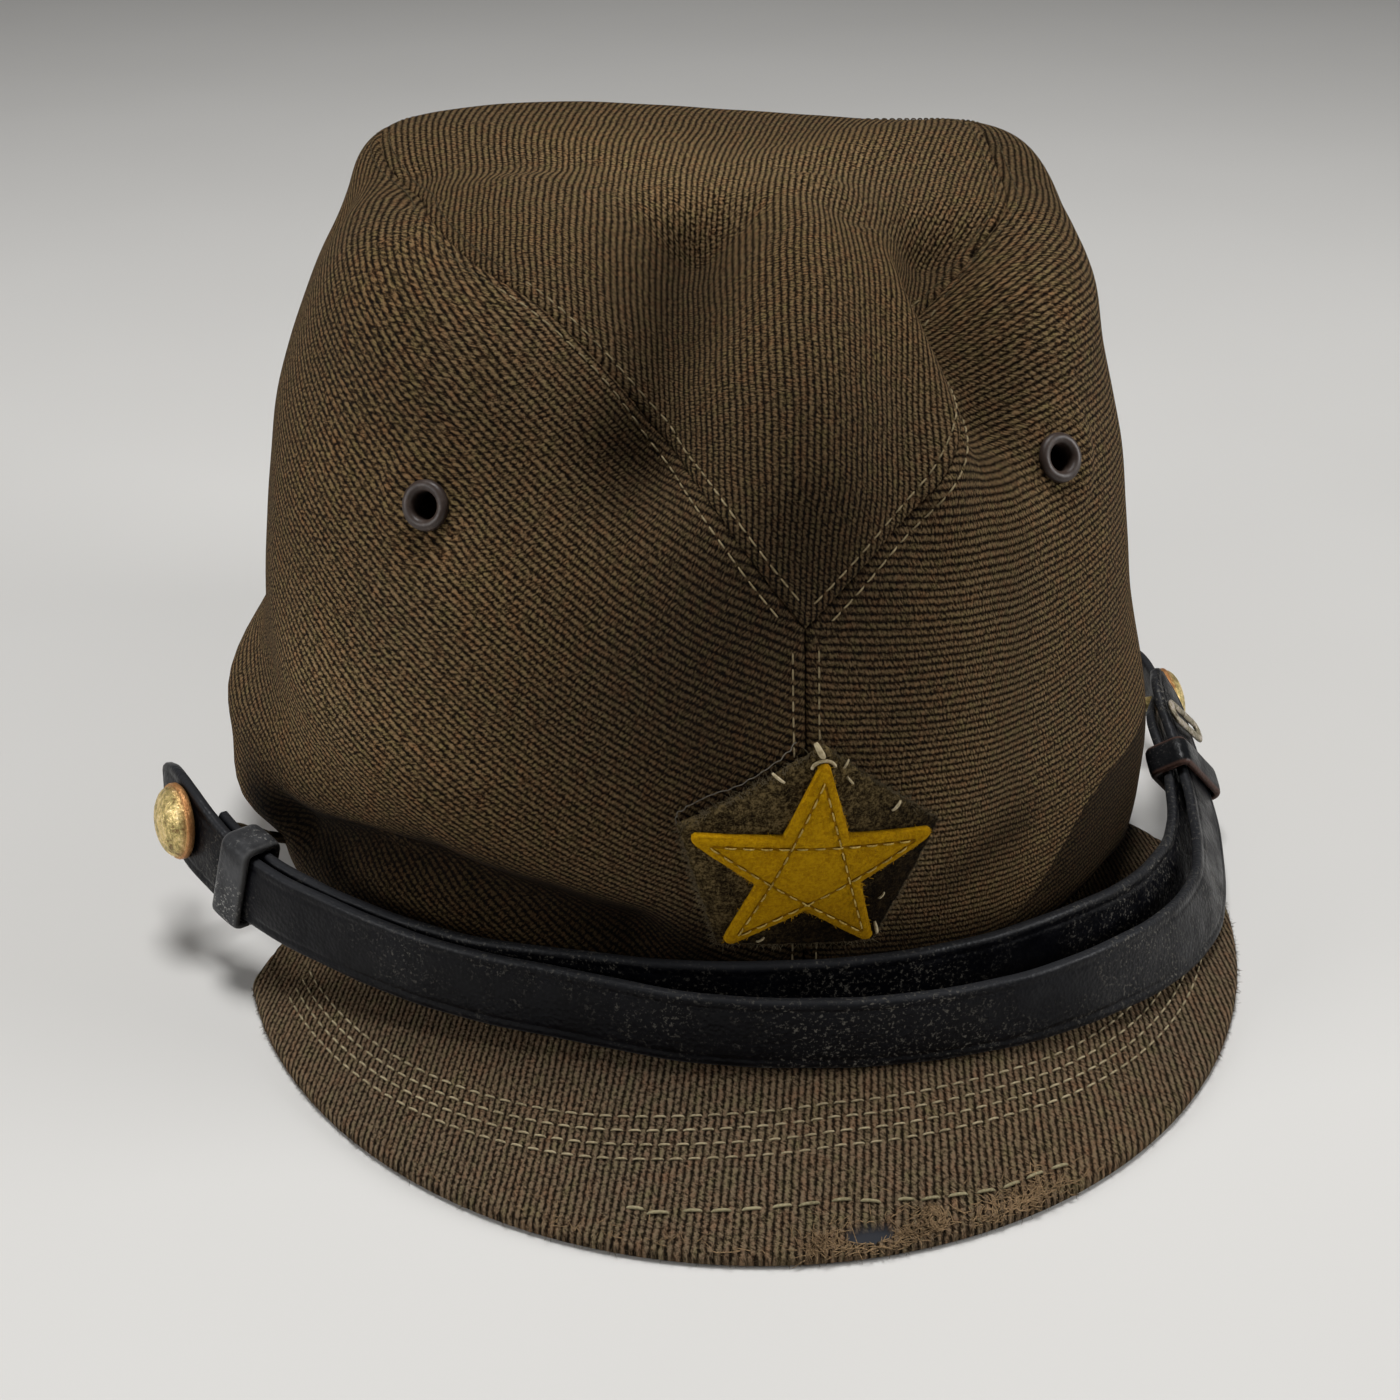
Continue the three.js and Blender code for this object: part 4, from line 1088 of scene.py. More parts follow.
def seam_lines():
    """Points along every seam of the crown."""
    around = np.linspace(-180, 180, 1801)
    top = crown(around, seam_share(around))
    front = crown(0.0, np.linspace(0, SEAM_RIGHT["share"][0], 200))
    back = crown(180.0, np.linspace(0, SEAM_RIGHT["share"][-1], 200))
    return np.concatenate([top, front, back])


SEAM_LINES = seam_lines()


def eyelet_seat(around, height):
    """Middle and axis of an eyelet."""
    share = crown_share(around, height)
    front = np.array((0, -EYELET_TURN, 0))
    return crown(around, share), unit(crown_normal(around, share) + front)


def dressed(around, share, s, t):
    """Crown points with the relief of the seams and of worn cloth, flat where the eyelets clamp it."""
    points = crown(around, share)
    distance = nearest(SEAM_LINES, points)
    lift = np.interp(distance, SEAM_RELIEF["distance"], SEAM_RELIEF["lift"]) + unevenness(s, t)
    points = points + crown_normal(around, share) * lift[..., None]
    for spot in EYELETS.values():
        foot, axis = eyelet_seat(*spot)
        away = points - foot
        hold = 1 - smoothstep(np.linalg.norm(away, axis=-1), EYELET_SEAT, EYELET_SEAT_FADE)
        points = points - axis * ((away @ axis) * hold)[..., None]
    return points


def arc(points, axis):
    """Length run along an axis of a grid of points."""
    run = np.cumsum(np.linalg.norm(np.diff(points, axis=axis), axis=-1), axis=axis)
    start = np.zeros_like(np.take(run, [0], axis=axis))
    return np.concatenate([start, run], axis=axis)


def crown_painted_light(around, points):
    """How much painted shade the cloth gets under the overhang and in the folds, and painted light, less than
    0, on raised places.
    """
    turn = (around + 180) % 360 - 180
    below = read(PAINTED_BASE_SHADE, "around", turn, "height") - points[..., 2]
    base = read(PAINTED_BASE_SHADE, "around", turn, "depth")
    base = base * smoothstep(below / read(PAINTED_BASE_SHADE, "around", turn, "soft"), 0, 1)
    unshaded = 1 - base
    # worn gathers the painted light of the rows with a minus
    worn = np.zeros(base.shape)
    for radius, depth, path in PAINTED_SHADE_AND_LIGHT:
        tone = depth * np.exp(-((path_distance(points, path) / radius) ** 2))
        if depth > 0:
            unshaded = unshaded * (1 - tone)
        else:
            worn = worn + tone
    return np.clip(1 - unshaded + worn * unshaded, -1, 1)


def side_panel(sign):
    start = math.degrees(SEAM_HALF_GAP / CROWN["front"][0])
    turn = start + (180 - 2 * start) * dense_ends(SIDE_STEPS)
    around = turn if sign > 0 else turn - 180
    climb = 1 - (1 - np.linspace(0, 1, SIDE_ROWS + 1)) ** 1.5
    edge = seam_share(around)
    share = edge[:, None] * climb[None, :]
    around = np.broadcast_to(around[:, None], share.shape)
    bare = smooth_crown(around, share)[0]
    s = np.abs(arc(bare[:, SIDE_ROWS // 2], 0))
    s = s if sign > 0 else s[-1] - s
    s = np.broadcast_to(s[:, None], share.shape)
    t = bare[:, :1, 2] + arc(bare, 1)
    outer = dressed(around, share, s, t)
    hem = smoothstep(1.2 - arc(bare, 1), 0, 1.2) * 0.5
    outer -= crown_normal(around, share) * hem[..., None]
    inner = crown_offset(around[COARSE], share[COARSE], np.full(share[COARSE].shape, -CLOTH))
    inner[:, 0, 2] = crown(around[::INNER_STEP, 0], share[::INNER_STEP, 0])[:, 2]
    points, faces = shell(outer, inner, INNER_STEP)
    rise = read(RIB_RISE[sign], "distance", s[:, 0], "rise")
    steps = np.diff(s[:, 0], prepend=s[0, 0])
    climbed = np.cumsum(rise * steps)
    climbed -= climbed[0 if sign > 0 else -1]
    slant = 1 / np.sqrt(1 + rise**2)
    across = (t - climbed[:, None]) * slant.mean() * RIB_PITCH / PANEL_RIB_PITCH[sign]
    along = s + t * rise[:, None]
    uv = np.stack([along, across], axis=-1)
    uv = np.concatenate([uv.reshape(-1, 2), uv[COARSE].reshape(-1, 2)])
    shade = crown_painted_light(around, bare)
    shade = np.concatenate([shade.ravel(), shade[COARSE].ravel()])
    return points, faces, uv, shade


def top_panel():
    half = 180 * dense_ends(TOP_HALF_STEPS)
    around = np.concatenate([half[:-1] - 180, half[:-1]])
    low = seam_share(around)
    climb = np.linspace(0, 1, TOP_ROWS + 1) ** 1.5
    share = low[:, None] + (NEAR_TOP - low)[:, None] * climb[None, :]
    around = np.broadcast_to(around[:, None], share.shape)
    smooth = smooth_crown(around, share)[0]
    outer = dressed(around, share, smooth[..., 0], smooth[..., 1] + smooth[..., 2])
    inner = crown_offset(around[COARSE], share[COARSE], np.full(share[COARSE].shape, -CLOTH))
    top = outer[:, -1].mean(0)
    under = inner[:, -1].mean(0)
    points, faces = shell(outer, inner, INNER_STEP, closed=True, tops=(top, under))
    plain = np.concatenate([smooth.reshape(-1, 3), smooth[COARSE].reshape(-1, 3), np.array((top, under))])
    across = plain[:, 0] - (TOP_RIB_LEAN + TOP_RIB_FAN * plain[:, 0]) * plain[:, 1]
    along = plain[:, 1] + (TOP_HEIGHT - plain[:, 2]) * np.tanh(plain[:, 1] / TOP_MIDDLE)
    uv = np.stack([along, across * RIB_PITCH / TOP_RIB_PITCH], axis=-1)
    shade = crown_painted_light(np.degrees(np.arctan2(plain[:, 0], -plain[:, 1])), plain)
    return points, faces, uv, shade


def cut_hole(panel, around, height):
    """Round hole through a panel for an eyelet."""
    foot, axis = eyelet_seat(around, height)
    radius = EYELET_BARREL + GAP
    depth = 3 * CLOTH
    profile = ((0, -depth), (radius, -depth), (radius, depth), (0, depth))
    points, faces = lathe(profile, foot, axis, 32)
    data = bpy.data.meshes.new("drill")
    data.from_pydata(((points + SHIFT) * MM).tolist(), [], faces)
    drill = bpy.data.objects.new("drill", data)
    bpy.context.scene.collection.objects.link(drill)
    cut = panel.modifiers.new("hole", "BOOLEAN")
    cut.operation = "DIFFERENCE"
    cut.solver = "EXACT"
    cut.object = drill
    bpy.context.view_layer.objects.active = panel
    bpy.ops.object.modifier_apply(modifier="hole")
    bpy.data.objects.remove(drill)


for side_name, side_sign, hole_name in (
    ("side_panel_right", -1, "eyelet_right"),
    ("side_panel_left", 1, "eyelet_left"),
):
    side = piece("crown_" + side_name, side_panel(side_sign), WOOL, (side_name,))
    cut_hole(side, *EYELETS[hole_name])
piece("crown_top_panel", top_panel(), WOOL, ("top_panel",))


# Rows of stitches beside the seams
STITCH_LENGTH = 1.7
STITCH_GAP = 0.75
STITCH_RADIUS = 0.14
STITCH_RISE = 0.14
FRONT_TURNS = (1.5, 36)
REAR_TURNS = (36.5, 179)
UPRIGHT_FOOT = 0.02
UPRIGHT_STOP = 0.015


def seam_stitches(turns):
    """Stitches along both rows of the top seam, between two angles on either side of the front."""
    parts = []
    for side_sign in (-1, 1):
        a = side_sign * np.linspace(*turns, 600)
        s = seam_share(a)
        line = crown(a, s)
        along = unit(np.gradient(line, axis=0))
        side = np.cross(along, crown_normal(a, s))
        for sign in (-1, 1):
            moved = crown_step(a, s, side * sign, STITCH_INSET)
            parts.append(row_on_crown(*moved))
    return merge(*parts)


def upright_stitches(around):
    """Stitches along both rows of the front or the back seam."""
    s = np.linspace(UPRIGHT_FOOT, SEAM_RIGHT["share"][0] - UPRIGHT_STOP, 200)
    a = np.full(s.shape, around)
    side = unit(crown_slopes(a, s)[0])
    return merge(*[row_on_crown(*crown_step(a, s, side * sign, STITCH_INSET)) for sign in (-1, 1)])


def row_on_crown(around, share):
    keep = (share > 0) & (share < NEAR_TOP)
    line = crown(around, share)[keep]
    normals = crown_normal(around, share)[keep]
    starts, ends, ups = along_line(line, normals, STITCH_LENGTH, STITCH_GAP)
    return stitches(starts, ends, ups, STITCH_RADIUS, STITCH_RISE)


front_rows = merge(seam_stitches(FRONT_TURNS), upright_stitches(0.0))
rear_rows = merge(seam_stitches(REAR_TURNS), upright_stitches(180.0))
piece("seam_stitches_front", front_rows, TAN_THREAD)
# The rear rows take the darker copy of the thread as painted shade
piece("seam_stitches_rear", rear_rows, SHADED_THREAD)


# Eyelets
def eyelet(around, height):
    foot, axis = eyelet_seat(around, height)
    middle = (EYELET_FLANGE + EYELET_BORE) / 2
    half = (EYELET_FLANGE - EYELET_BORE) / 2
    turn = np.linspace(0, math.pi, 15)
    rolled = np.stack([middle + half * np.cos(turn), GAP + EYELET_PROUD * np.sin(turn) ** 0.8], axis=-1)
    back = -CLOTH - GAP
    inside = ((EYELET_BORE, back), (EYELET_BARREL + 0.6, back - 0.3), (EYELET_BARREL + 0.6, back + 0.1))
    barrel = ((EYELET_BARREL, back + 0.2), (EYELET_BARREL, GAP / 2), (EYELET_FLANGE, GAP / 2))
    profile = np.concatenate([rolled, np.array(inside), np.array(barrel)])
    return lathe(profile, foot, axis, 48)


for eyelet_name, eyelet_spot in EYELETS.items():
    piece("metal_" + eyelet_name, eyelet(*eyelet_spot), ENAMEL, (eyelet_name,))


# Peak
PEAK_STEPS = 400
PEAK_ROWS = 48
PEAK_ROUND = 1.2
PEAK_STITCHES = table("turn inset", (0, 15.6), (15, 14.2), (30, 11.7), (50, 9.1), (70, 7.6), (90, 7))
PEAK_STITCH_ROWS = 4
PEAK_STITCH_SPACE = 2.25
PEAK_STITCH_END = 74
PEAK_STITCH_LENGTH = 1.9
PEAK_STITCH_GAP = 0.9
PEAK_STITCH_STAGGER = 0.4
PEAK_STITCH_RADIUS = 0.19
PEAK_STITCH_RISE = 0.2
PEAK_STITCH_SUNK = 0.12
PEAK_STITCH_UP = (0.0, -0.3, 0.95)
PEAK_STITCH_DITCH = 0.22
PEAK_STITCH_DITCH_HALF = 0.7
HAND_STITCHES = table(
    "turn inset", (-23, 5.2), (-12, 6.6), (-1, 7.4), (4, 5.9), (10, 5), (15, 3.9), (20, 3.9), (24, 3)
)
HAND_STITCH_LENGTH = 3.0
HAND_STITCH_GAP = 1.5
HAND_STITCH_SLIP = 0.3
HAND_STITCH_RADIUS = 0.27
HAND_STITCH_RISE = 0.34
HAND_STITCH_UP = (0.0, -0.35, 0.94)

# Worn places at the front edge: edge angle and inset of the middle, half length and half depth
PEAK_HOLE = (0.6, 2.3, 3.9, 1.25)
PEAK_HOLE_DEEP = 1.1
FRAY_REACH = 1.006
PEAK_FRAY = table(
    "turn wide count",
    (-4, 3, 150),
    (0.6, 4.5, 190),
    (5, 2.5, 70),
    (17, 7, 320),
    (-20, 30, 90),
)
FRAY_RADIUS = 0.11
FRAY_LENGTHS = (0.9, 2.6)
FRAY_CURL = 0.25
EDGE_HAIR_COUNT = 2600
EDGE_HAIR_RADIUS = 0.05
EDGE_HAIR_LENGTHS = (0.25, 0.75)
LOWEST_HAIR = 0.1
TANGLE_TURN = 7.3
TANGLE_INSET = 2.5
TANGLE_RADIUS = 2.1
TANGLE_COUNT = 110
TANGLE_YARN = 0.13
TANGLE_LENGTHS = (0.8, 1.9)
TANGLE_CURL = 0.2


def hole_mask(turn, inset):
    """1 in the worn hole of the peak's edge and 0 outside it."""
    middle, depth, half_long, half_deep = PEAK_HOLE
    along = (turn - middle) * math.radians(PEAK_REACH)
    wobble = 0.25 * np.sin(2.3 * along + 0.6) + 0.15 * np.sin(5.1 * along)
    size = (along / half_long) ** 2 + ((inset - depth + 0.2 * wobble) / half_deep) ** 2
    return smoothstep(1.25 + 0.3 * wobble - size, 0, 0.45)


def peak_point(turn, inset, out=0.0):
    """Point on the peak's upper face: edge angle in degrees, and millimetres in from the edge."""
    turn = np.asarray(turn, float)
    edge = np.radians(turn)
    around = turn * PEAK_END / PEAK_EDGE_END
    rim = crown(around, np.zeros_like(turn))
    outward = unit(rim * np.array((1, 1, 0)))
    seat = rim - outward * PEAK_UNDER_RIM
    seat[..., 2] = rim_lift(around) - GAP
    tip = np.stack(
        [
            PEAK_SHIFT + PEAK_HALF_WIDTH * np.sin(edge),
            PEAK_CENTRE - PEAK_REACH * np.cos(edge),
            np.full(turn.shape, PEAK_THICK),
        ],
        axis=-1,
    )
    reach = np.linalg.norm((seat - tip)[..., :2], axis=-1)
    share = np.clip(np.asarray(inset, float) / reach, 0, 1)
    point = tip + (seat - tip) * share[..., None]
    point[..., 2] += PEAK_ARCH * 4 * share * (1 - share) + out
    return point


def peak_width(turn):
    flat = np.array((1, 1, 0))
    return np.linalg.norm((peak_point(turn, 1e3) - peak_point(turn, 0)) * flat, axis=-1)


def peak():
    spread = np.linspace(-1, 1, PEAK_STEPS + 1)
    turn = PEAK_EDGE_END * (0.4 * spread + 0.6 * spread**3)
    climb = np.linspace(0, 1, PEAK_ROWS + 1) ** 1.35
    inset = peak_width(turn)[:, None] * climb[None, :]
    turn = np.broadcast_to(turn[:, None], inset.shape)
    top = peak_point(turn, inset)
    lift = unevenness(top[..., 0], top[..., 1]) * 0.8
    for k in range(PEAK_STITCH_ROWS):
        row = read(PEAK_STITCHES, "turn", np.abs(turn), "inset") + k * PEAK_STITCH_SPACE
        lift -= PEAK_STITCH_DITCH * np.exp(-(((inset - row) / PEAK_STITCH_DITCH_HALF) ** 2))
    roll = np.clip(1 - inset / PEAK_ROUND, 0, 1)
    lift -= PEAK_ROUND * (1 - np.sqrt(1 - roll**2))
    hole = hole_mask(turn, inset)
    lift -= PEAK_HOLE_DEEP * hole
    top[..., 2] += lift
    under = peak_point(turn[COARSE], inset[COARSE], -PEAK_THICK)
    roll = roll[COARSE]
    under[..., 2] += 0.5 * PEAK_ROUND * (1 - np.sqrt(1 - roll**2))
    points, faces = shell(top, under, INNER_STEP)
    back = points[:, 1] - (PEAK_CENTRE - PEAK_REACH)
    across = (points[:, 0] * (1 + PEAK_RIB_FAN * back) - PEAK_RIB_LEAN * back) * RIB_PITCH / PEAK_RIB_PITCH
    uv = np.stack([points[:, 1], across], axis=-1)
    shade = np.concatenate([hole.ravel(), np.zeros(hole[COARSE].size)])
    return points, faces, uv, shade


def peak_headings(roots, turn, inset):
    """Directions on the peak towards its edge and along it."""
    forward = unit(roots - peak_point(turn, inset + 2))
    return forward, np.cross((0, 0, 1), forward)


def peak_fray():
    """Ginger hairs round the worn hole and along the rubbed edge."""
    chance = np.random.default_rng(7)
    turn = np.concatenate([
        chance.normal(middle, wide / 2, int(count))
        for middle, wide, count in zip(PEAK_FRAY["turn"], PEAK_FRAY["wide"], PEAK_FRAY["count"])
    ])
    inset = chance.gamma(1.6, 0.9, turn.shape)
    ahead = chance.normal(-0.3, 0.35, turn.shape)
    beside = chance.normal(0, 0.9, turn.shape)
    lengths = chance.uniform(*FRAY_LENGTHS, turn.shape)
    tip_turn = turn + np.degrees(beside * lengths / PEAK_REACH)
    clear = hole_mask(turn, inset) + hole_mask(tip_turn, inset - ahead * lengths) < 0.1
    hairs = np.stack([turn, inset, ahead, beside, lengths])
    turn, inset, ahead, beside, lengths = hairs[:, clear]
    roll = np.clip(1 - inset / PEAK_ROUND, 0, 1)
    roots = peak_point(turn, inset, -PEAK_ROUND * (1 - np.sqrt(1 - roll**2)) - 0.1)
    forward, sideways = peak_headings(roots, turn, inset)
    heading = forward * ahead[:, None] + sideways * beside[:, None]
    heading = unit(heading + np.array((0, 0, 1)) * chance.uniform(0.0, 0.18, (len(turn), 1)))
    points, faces = fibres(roots, heading, lengths, FRAY_RADIUS, chance, FRAY_CURL)
    points[:, 2] = np.maximum(points[:, 2], LOWEST_HAIR)
    middle = np.array((PEAK_SHIFT, PEAK_CENTRE))
    size = np.linalg.norm((points[:, :2] - middle) / (PEAK_HALF_WIDTH, PEAK_REACH), axis=1, keepdims=True)
    points[:, :2] = middle + (points[:, :2] - middle) / np.maximum(size / FRAY_REACH, 1)
    return points, faces


def peak_tangle():
    """Pulled yarn that lies in rings beside the worn hole."""
    chance = np.random.default_rng(11)
    angle = chance.uniform(0, 2 * math.pi, TANGLE_COUNT)
    away = chance.uniform(0.4, TANGLE_RADIUS, TANGLE_COUNT)
    turn = TANGLE_TURN + np.degrees(away * np.cos(angle) / PEAK_REACH)
    inset = TANGLE_INSET + away * np.sin(angle)
    roots = peak_point(turn, inset, 0.05)
    forward, sideways = peak_headings(roots, turn, inset)
    heading = unit(-sideways * np.sin(angle)[:, None] - forward * np.cos(angle)[:, None])
    lengths = chance.uniform(*TANGLE_LENGTHS, TANGLE_COUNT)
    return fibres(roots, heading, lengths, TANGLE_YARN, chance, TANGLE_CURL)


def peak_fuzz():
    """Short hairs all along the peak's edge."""
    chance = np.random.default_rng(5)
    turn = chance.uniform(-PEAK_EDGE_END, PEAK_EDGE_END, EDGE_HAIR_COUNT)
    roots = peak_point(turn, 0.2, chance.uniform(-1.6, -0.9, turn.shape))
    forward = unit((roots - peak_point(turn, 3)) * np.array((1, 1, 0)))
    heading = unit(forward + chance.normal(0, 0.8, roots.shape))
    lengths = chance.uniform(*EDGE_HAIR_LENGTHS, turn.shape)
    points, faces = fibres(roots, heading, lengths, EDGE_HAIR_RADIUS, chance)
    points[:, 2] = np.maximum(points[:, 2], LOWEST_HAIR)
    return points, faces


piece("stitched_peak", peak(), PEAK_WOOL, ("peak",))
piece("peak_frayed_hairs", peak_fray(), GINGER_FIBRE)
piece("peak_edge_fuzz", peak_fuzz(), WOOL_FIBRE)
piece("peak_yarn_tangle", peak_tangle(), GINGER_FIBRE)


def peak_stitches():
    parts = []
    for k in range(PEAK_STITCH_ROWS):
        turn = np.linspace(-PEAK_STITCH_END, PEAK_STITCH_END, 700)
        inset = read(PEAK_STITCHES, "turn", np.abs(turn), "inset") + k * PEAK_STITCH_SPACE
        keep = inset < peak_width(turn) - 1
        line = peak_point(turn[keep], inset[keep], -PEAK_STITCH_SUNK)
        ups = np.broadcast_to(PEAK_STITCH_UP, line.shape)
        row = along_line(line, ups, PEAK_STITCH_LENGTH, PEAK_STITCH_GAP, k * PEAK_STITCH_STAGGER)
        parts.append(stitches(*row, PEAK_STITCH_RADIUS, PEAK_STITCH_RISE))
    return merge(*parts)


def hand_stitches():
    turn = np.linspace(HAND_STITCHES["turn"][0], HAND_STITCHES["turn"][-1], 300)
    line = peak_point(turn, read(HAND_STITCHES, "turn", turn, "inset"))
    ups = np.broadcast_to(HAND_STITCH_UP, line.shape)
    starts, ends, normals = along_line(line, ups, HAND_STITCH_LENGTH, HAND_STITCH_GAP)
    chance = np.random.default_rng(3)
    slip = chance.normal(0, HAND_STITCH_SLIP, (len(starts), 1)) * np.array((1, 0.4, 0))
    return stitches(starts + slip, ends + 0.6 * slip, normals, HAND_STITCH_RADIUS, HAND_STITCH_RISE)


piece("peak_stitches", peak_stitches(), ROW_THREAD)
piece("peak_hand_stitches", hand_stitches(), KHAKI_THREAD)


# Felt badge
FELT_COLUMNS = 400
FELT_RINGS = 26
FELT_BULGE = 0.25
STAR_TIP_ROUND = 0.9
STAR_SHARP_RADIUS = 20.6
# Painted shade on the badge by its height, leaned across, darker towards the bottom
FELT_SHADE_LEAN = 0.7
FELT_PAINTED_SHADE = table("up dark", (-24, 1.0), (-14, 0.97), (-8, 0.78), (-2, 0.45), (6, 0.1), (12, 0), (24, 0))


def badge_point(right, up, out):
    height = BADGE_HEIGHT + up
    middle = crown(BADGE_AROUND, crown_share(BADGE_AROUND, height))
    around = BADGE_AROUND + np.degrees(right / np.abs(middle[..., 1]))
    return crown_offset(around, crown_share(around, height), out)


def edge_radius(start, end, sweep, share):
    angle = sweep * share
    return start * end * math.sin(sweep) / (start * np.sin(angle) + end * np.sin(sweep - angle))


def pentagon_radius(turn):
    side = (turn * BADGE_POINTS) % 1
    return edge_radius(PATCH_RADIUS, PATCH_RADIUS, 2 * math.pi / BADGE_POINTS, side)


def star_radius(turn):
    half = (turn * 2 * BADGE_POINTS) % 2
    waist = STAR_RADIUS * STAR_WAIST
    angle = math.pi / BADGE_POINTS
    falling = edge_radius(STAR_SHARP_RADIUS, waist, angle, np.minimum(half, 1))
    rising = edge_radius(waist, STAR_SHARP_RADIUS, angle, np.maximum(half - 1, 0))
    sharp = np.where(half < 1, falling, rising)
    off = np.minimum(half, 2 - half) * angle
    centre = STAR_RADIUS - STAR_TIP_ROUND
    inside = STAR_TIP_ROUND**2 - (centre * np.sin(off)) ** 2
    tip = centre * np.cos(off) + np.sqrt(np.maximum(inside, 0))
    return np.where(inside > 0, np.minimum(sharp, tip), sharp)


def felt_cut(outline, lift, rough, dark):
    """Felt shape with a rounded, slightly uneven edge, laid on the crown, and its painted shade, darker
    towards the bottom of the badge.
    """
    turn = np.arange(FELT_COLUMNS) / FELT_COLUMNS
    angle = badge_angle(turn)
    wander = 1 + rough * (np.sin(19 * angle) + np.sin(31 * angle + 1) + 0.7 * np.sin(53 * angle + 2))
    edge = outline(turn) * wander
    ring = 1 - np.linspace(0, 1, FELT_RINGS, endpoint=False) ** 1.5
    right = np.cos(angle)[:, None] * edge[:, None] * ring
    up = np.sin(angle)[:, None] * edge[:, None] * ring
    flat = np.stack([right, up, np.zeros_like(right)], axis=-1)
    inset = nearest(flat[:, 0], flat)
    rise = np.sqrt(1 - np.clip(1 - inset / (0.8 * FELT), 0, 1) ** 2)
    bulge = FELT_BULGE * smoothstep(inset, 0, 4)
    outer = badge_point(right, up, lift + FELT * (0.35 + 0.65 * rise) + bulge)
    inner = badge_point(right[::2], up[::2], np.full(right[::2].shape, lift))
    top = badge_point(np.zeros(1), np.zeros(1), np.full(1, lift + FELT + FELT_BULGE))[0]
    under = badge_point(np.zeros(1), np.zeros(1), np.full(1, lift))[0]
    points, faces = shell(outer, inner, 2, closed=True, tops=(top, under))
    flat = flat[..., :2]
    uv = np.concatenate([flat.reshape(-1, 2), flat[::2].reshape(-1, 2), np.zeros((2, 2))])
    up = uv[:, 1] - FELT_SHADE_LEAN * uv[:, 0]
    return points, faces, uv, dark * np.interp(up, FELT_PAINTED_SHADE["up"], FELT_PAINTED_SHADE["dark"])


def felt_hairs(outline, lift, count, longest, seed):
    """Hairs that stick out of a felt shape's edge."""
    chance = np.random.default_rng(seed)
    turn = chance.uniform(0, 1, count)
    angle = badge_angle(turn)
    edge = outline(turn) * chance.uniform(0.96, 1.0, count)
    right = np.cos(angle) * edge
    up = np.sin(angle) * edge
    roots = badge_point(right, up, lift + FELT * chance.uniform(0.2, 0.9, count))
    ahead = badge_point(right * 1.05, up * 1.05, np.full(count, lift + FELT / 2))
    out = unit(ahead - badge_point(right, up, np.full(count, lift + FELT / 2)))
    heading = unit(out + chance.normal(0, 0.6, (count, 3)))
    return fibres(roots, heading, chance.uniform(0.3, 1, count) * longest, 0.05, chance, 0.6)


# dark sets how strong the painted shade is on each felt piece
patch_mesh = felt_cut(pentagon_radius, PATCH_LIFT, rough=0.004, dark=1.0)
star_mesh = felt_cut(star_radius, STAR_LIFT, rough=0.002, dark=0.3)
patch_fringe = felt_hairs(pentagon_radius, PATCH_LIFT, count=2200, longest=0.9, seed=11)
star_fringe = felt_hairs(star_radius, STAR_LIFT, count=700, longest=0.45, seed=12)
piece("felt_patch", patch_mesh, PATCH_FELT, ("badge_patch",))
piece("felt_star", star_mesh, STAR_FELT, ("badge_star",))
piece("patch_hairs", patch_fringe, FIBRE)
piece("star_hairs", star_fringe, STAR_FIBRE)

# Hand stitches on the patch: middle, direction in degrees, length and thickness
PATCH_STITCHES = table(
    "right up turn length radius",
    (1.4, 20.6, -65, 2.6, 0.5),
    (-4.6, 16.8, -45, 2.4, 0.24),
    (5.2, 18.0, 60, 1.6, 0.18),
    (5.8, 15.2, -55, 1.6, 0.2),
    (13.0, 9.4, 50, 2.0, 0.24),
    (11.3, -8.1, 50, 1.4, 0.2),
    (10.7, -15.0, 100, 2.6, 0.3),
    (-7.3, -14.6, 35, 1.4, 0.2),
)
TIP_LOOP_HALF_WIDTH = 1.7
TIP_LOOP_HEIGHT = 1.2
TIP_LOOP_LIFT = 0.45
TIP_LOOP_RADIUS = 0.26

# Loose thread: places on its way from its free end to the top of the patch
LOOSE_THREAD = table(
    "right up",
    (-19.4, 8.2),
    (-19.3, 10.0),
    (-17.4, 11.6),
    (-14.2, 13.4),
    (-10.6, 14.6),
    (-7.2, 16.6),
    (-3.8, 19.0),
    (-1.6, 21.4),
)
LOOSE_WAVE = 0.12
LOOSE_RADIUS = 0.09


def patch_stitches():
    parts = []
    for right, up, turn, length, radius in zip(*PATCH_STITCHES.values()):
        angle = math.radians(turn)
        t = np.linspace(-0.5, 0.5, 6)
        line_right = right + length * t * math.cos(angle)
        line_up = up + length * t * math.sin(angle)
        out = PATCH_LIFT + FELT + FELT_BULGE + radius * (0.9 - 9 * t**4 * 2.2)
        line = badge_point(line_right, line_up, out)
        parts.append(tubes(line[None], radius * (1 - 1.2 * t[None] ** 2), 8))
    return merge(*parts)


def tip_loop():
    """A thick thread laid over the star's upper tip."""
    turn = np.radians(np.linspace(175, 5, 16))
    middle = badge_angle(0)
    reach = STAR_RADIUS - STAR_TIP_ROUND
    right = reach * math.cos(middle) + TIP_LOOP_HALF_WIDTH * np.cos(turn)
    up = reach * math.sin(middle) + TIP_LOOP_HEIGHT * np.sin(turn)
    line = badge_point(right, up, np.full(turn.shape, PATCH_LIFT + FELT + TIP_LOOP_LIFT))
    return tubes(line[None], np.full((1, len(turn)), TIP_LOOP_RADIUS), 8)


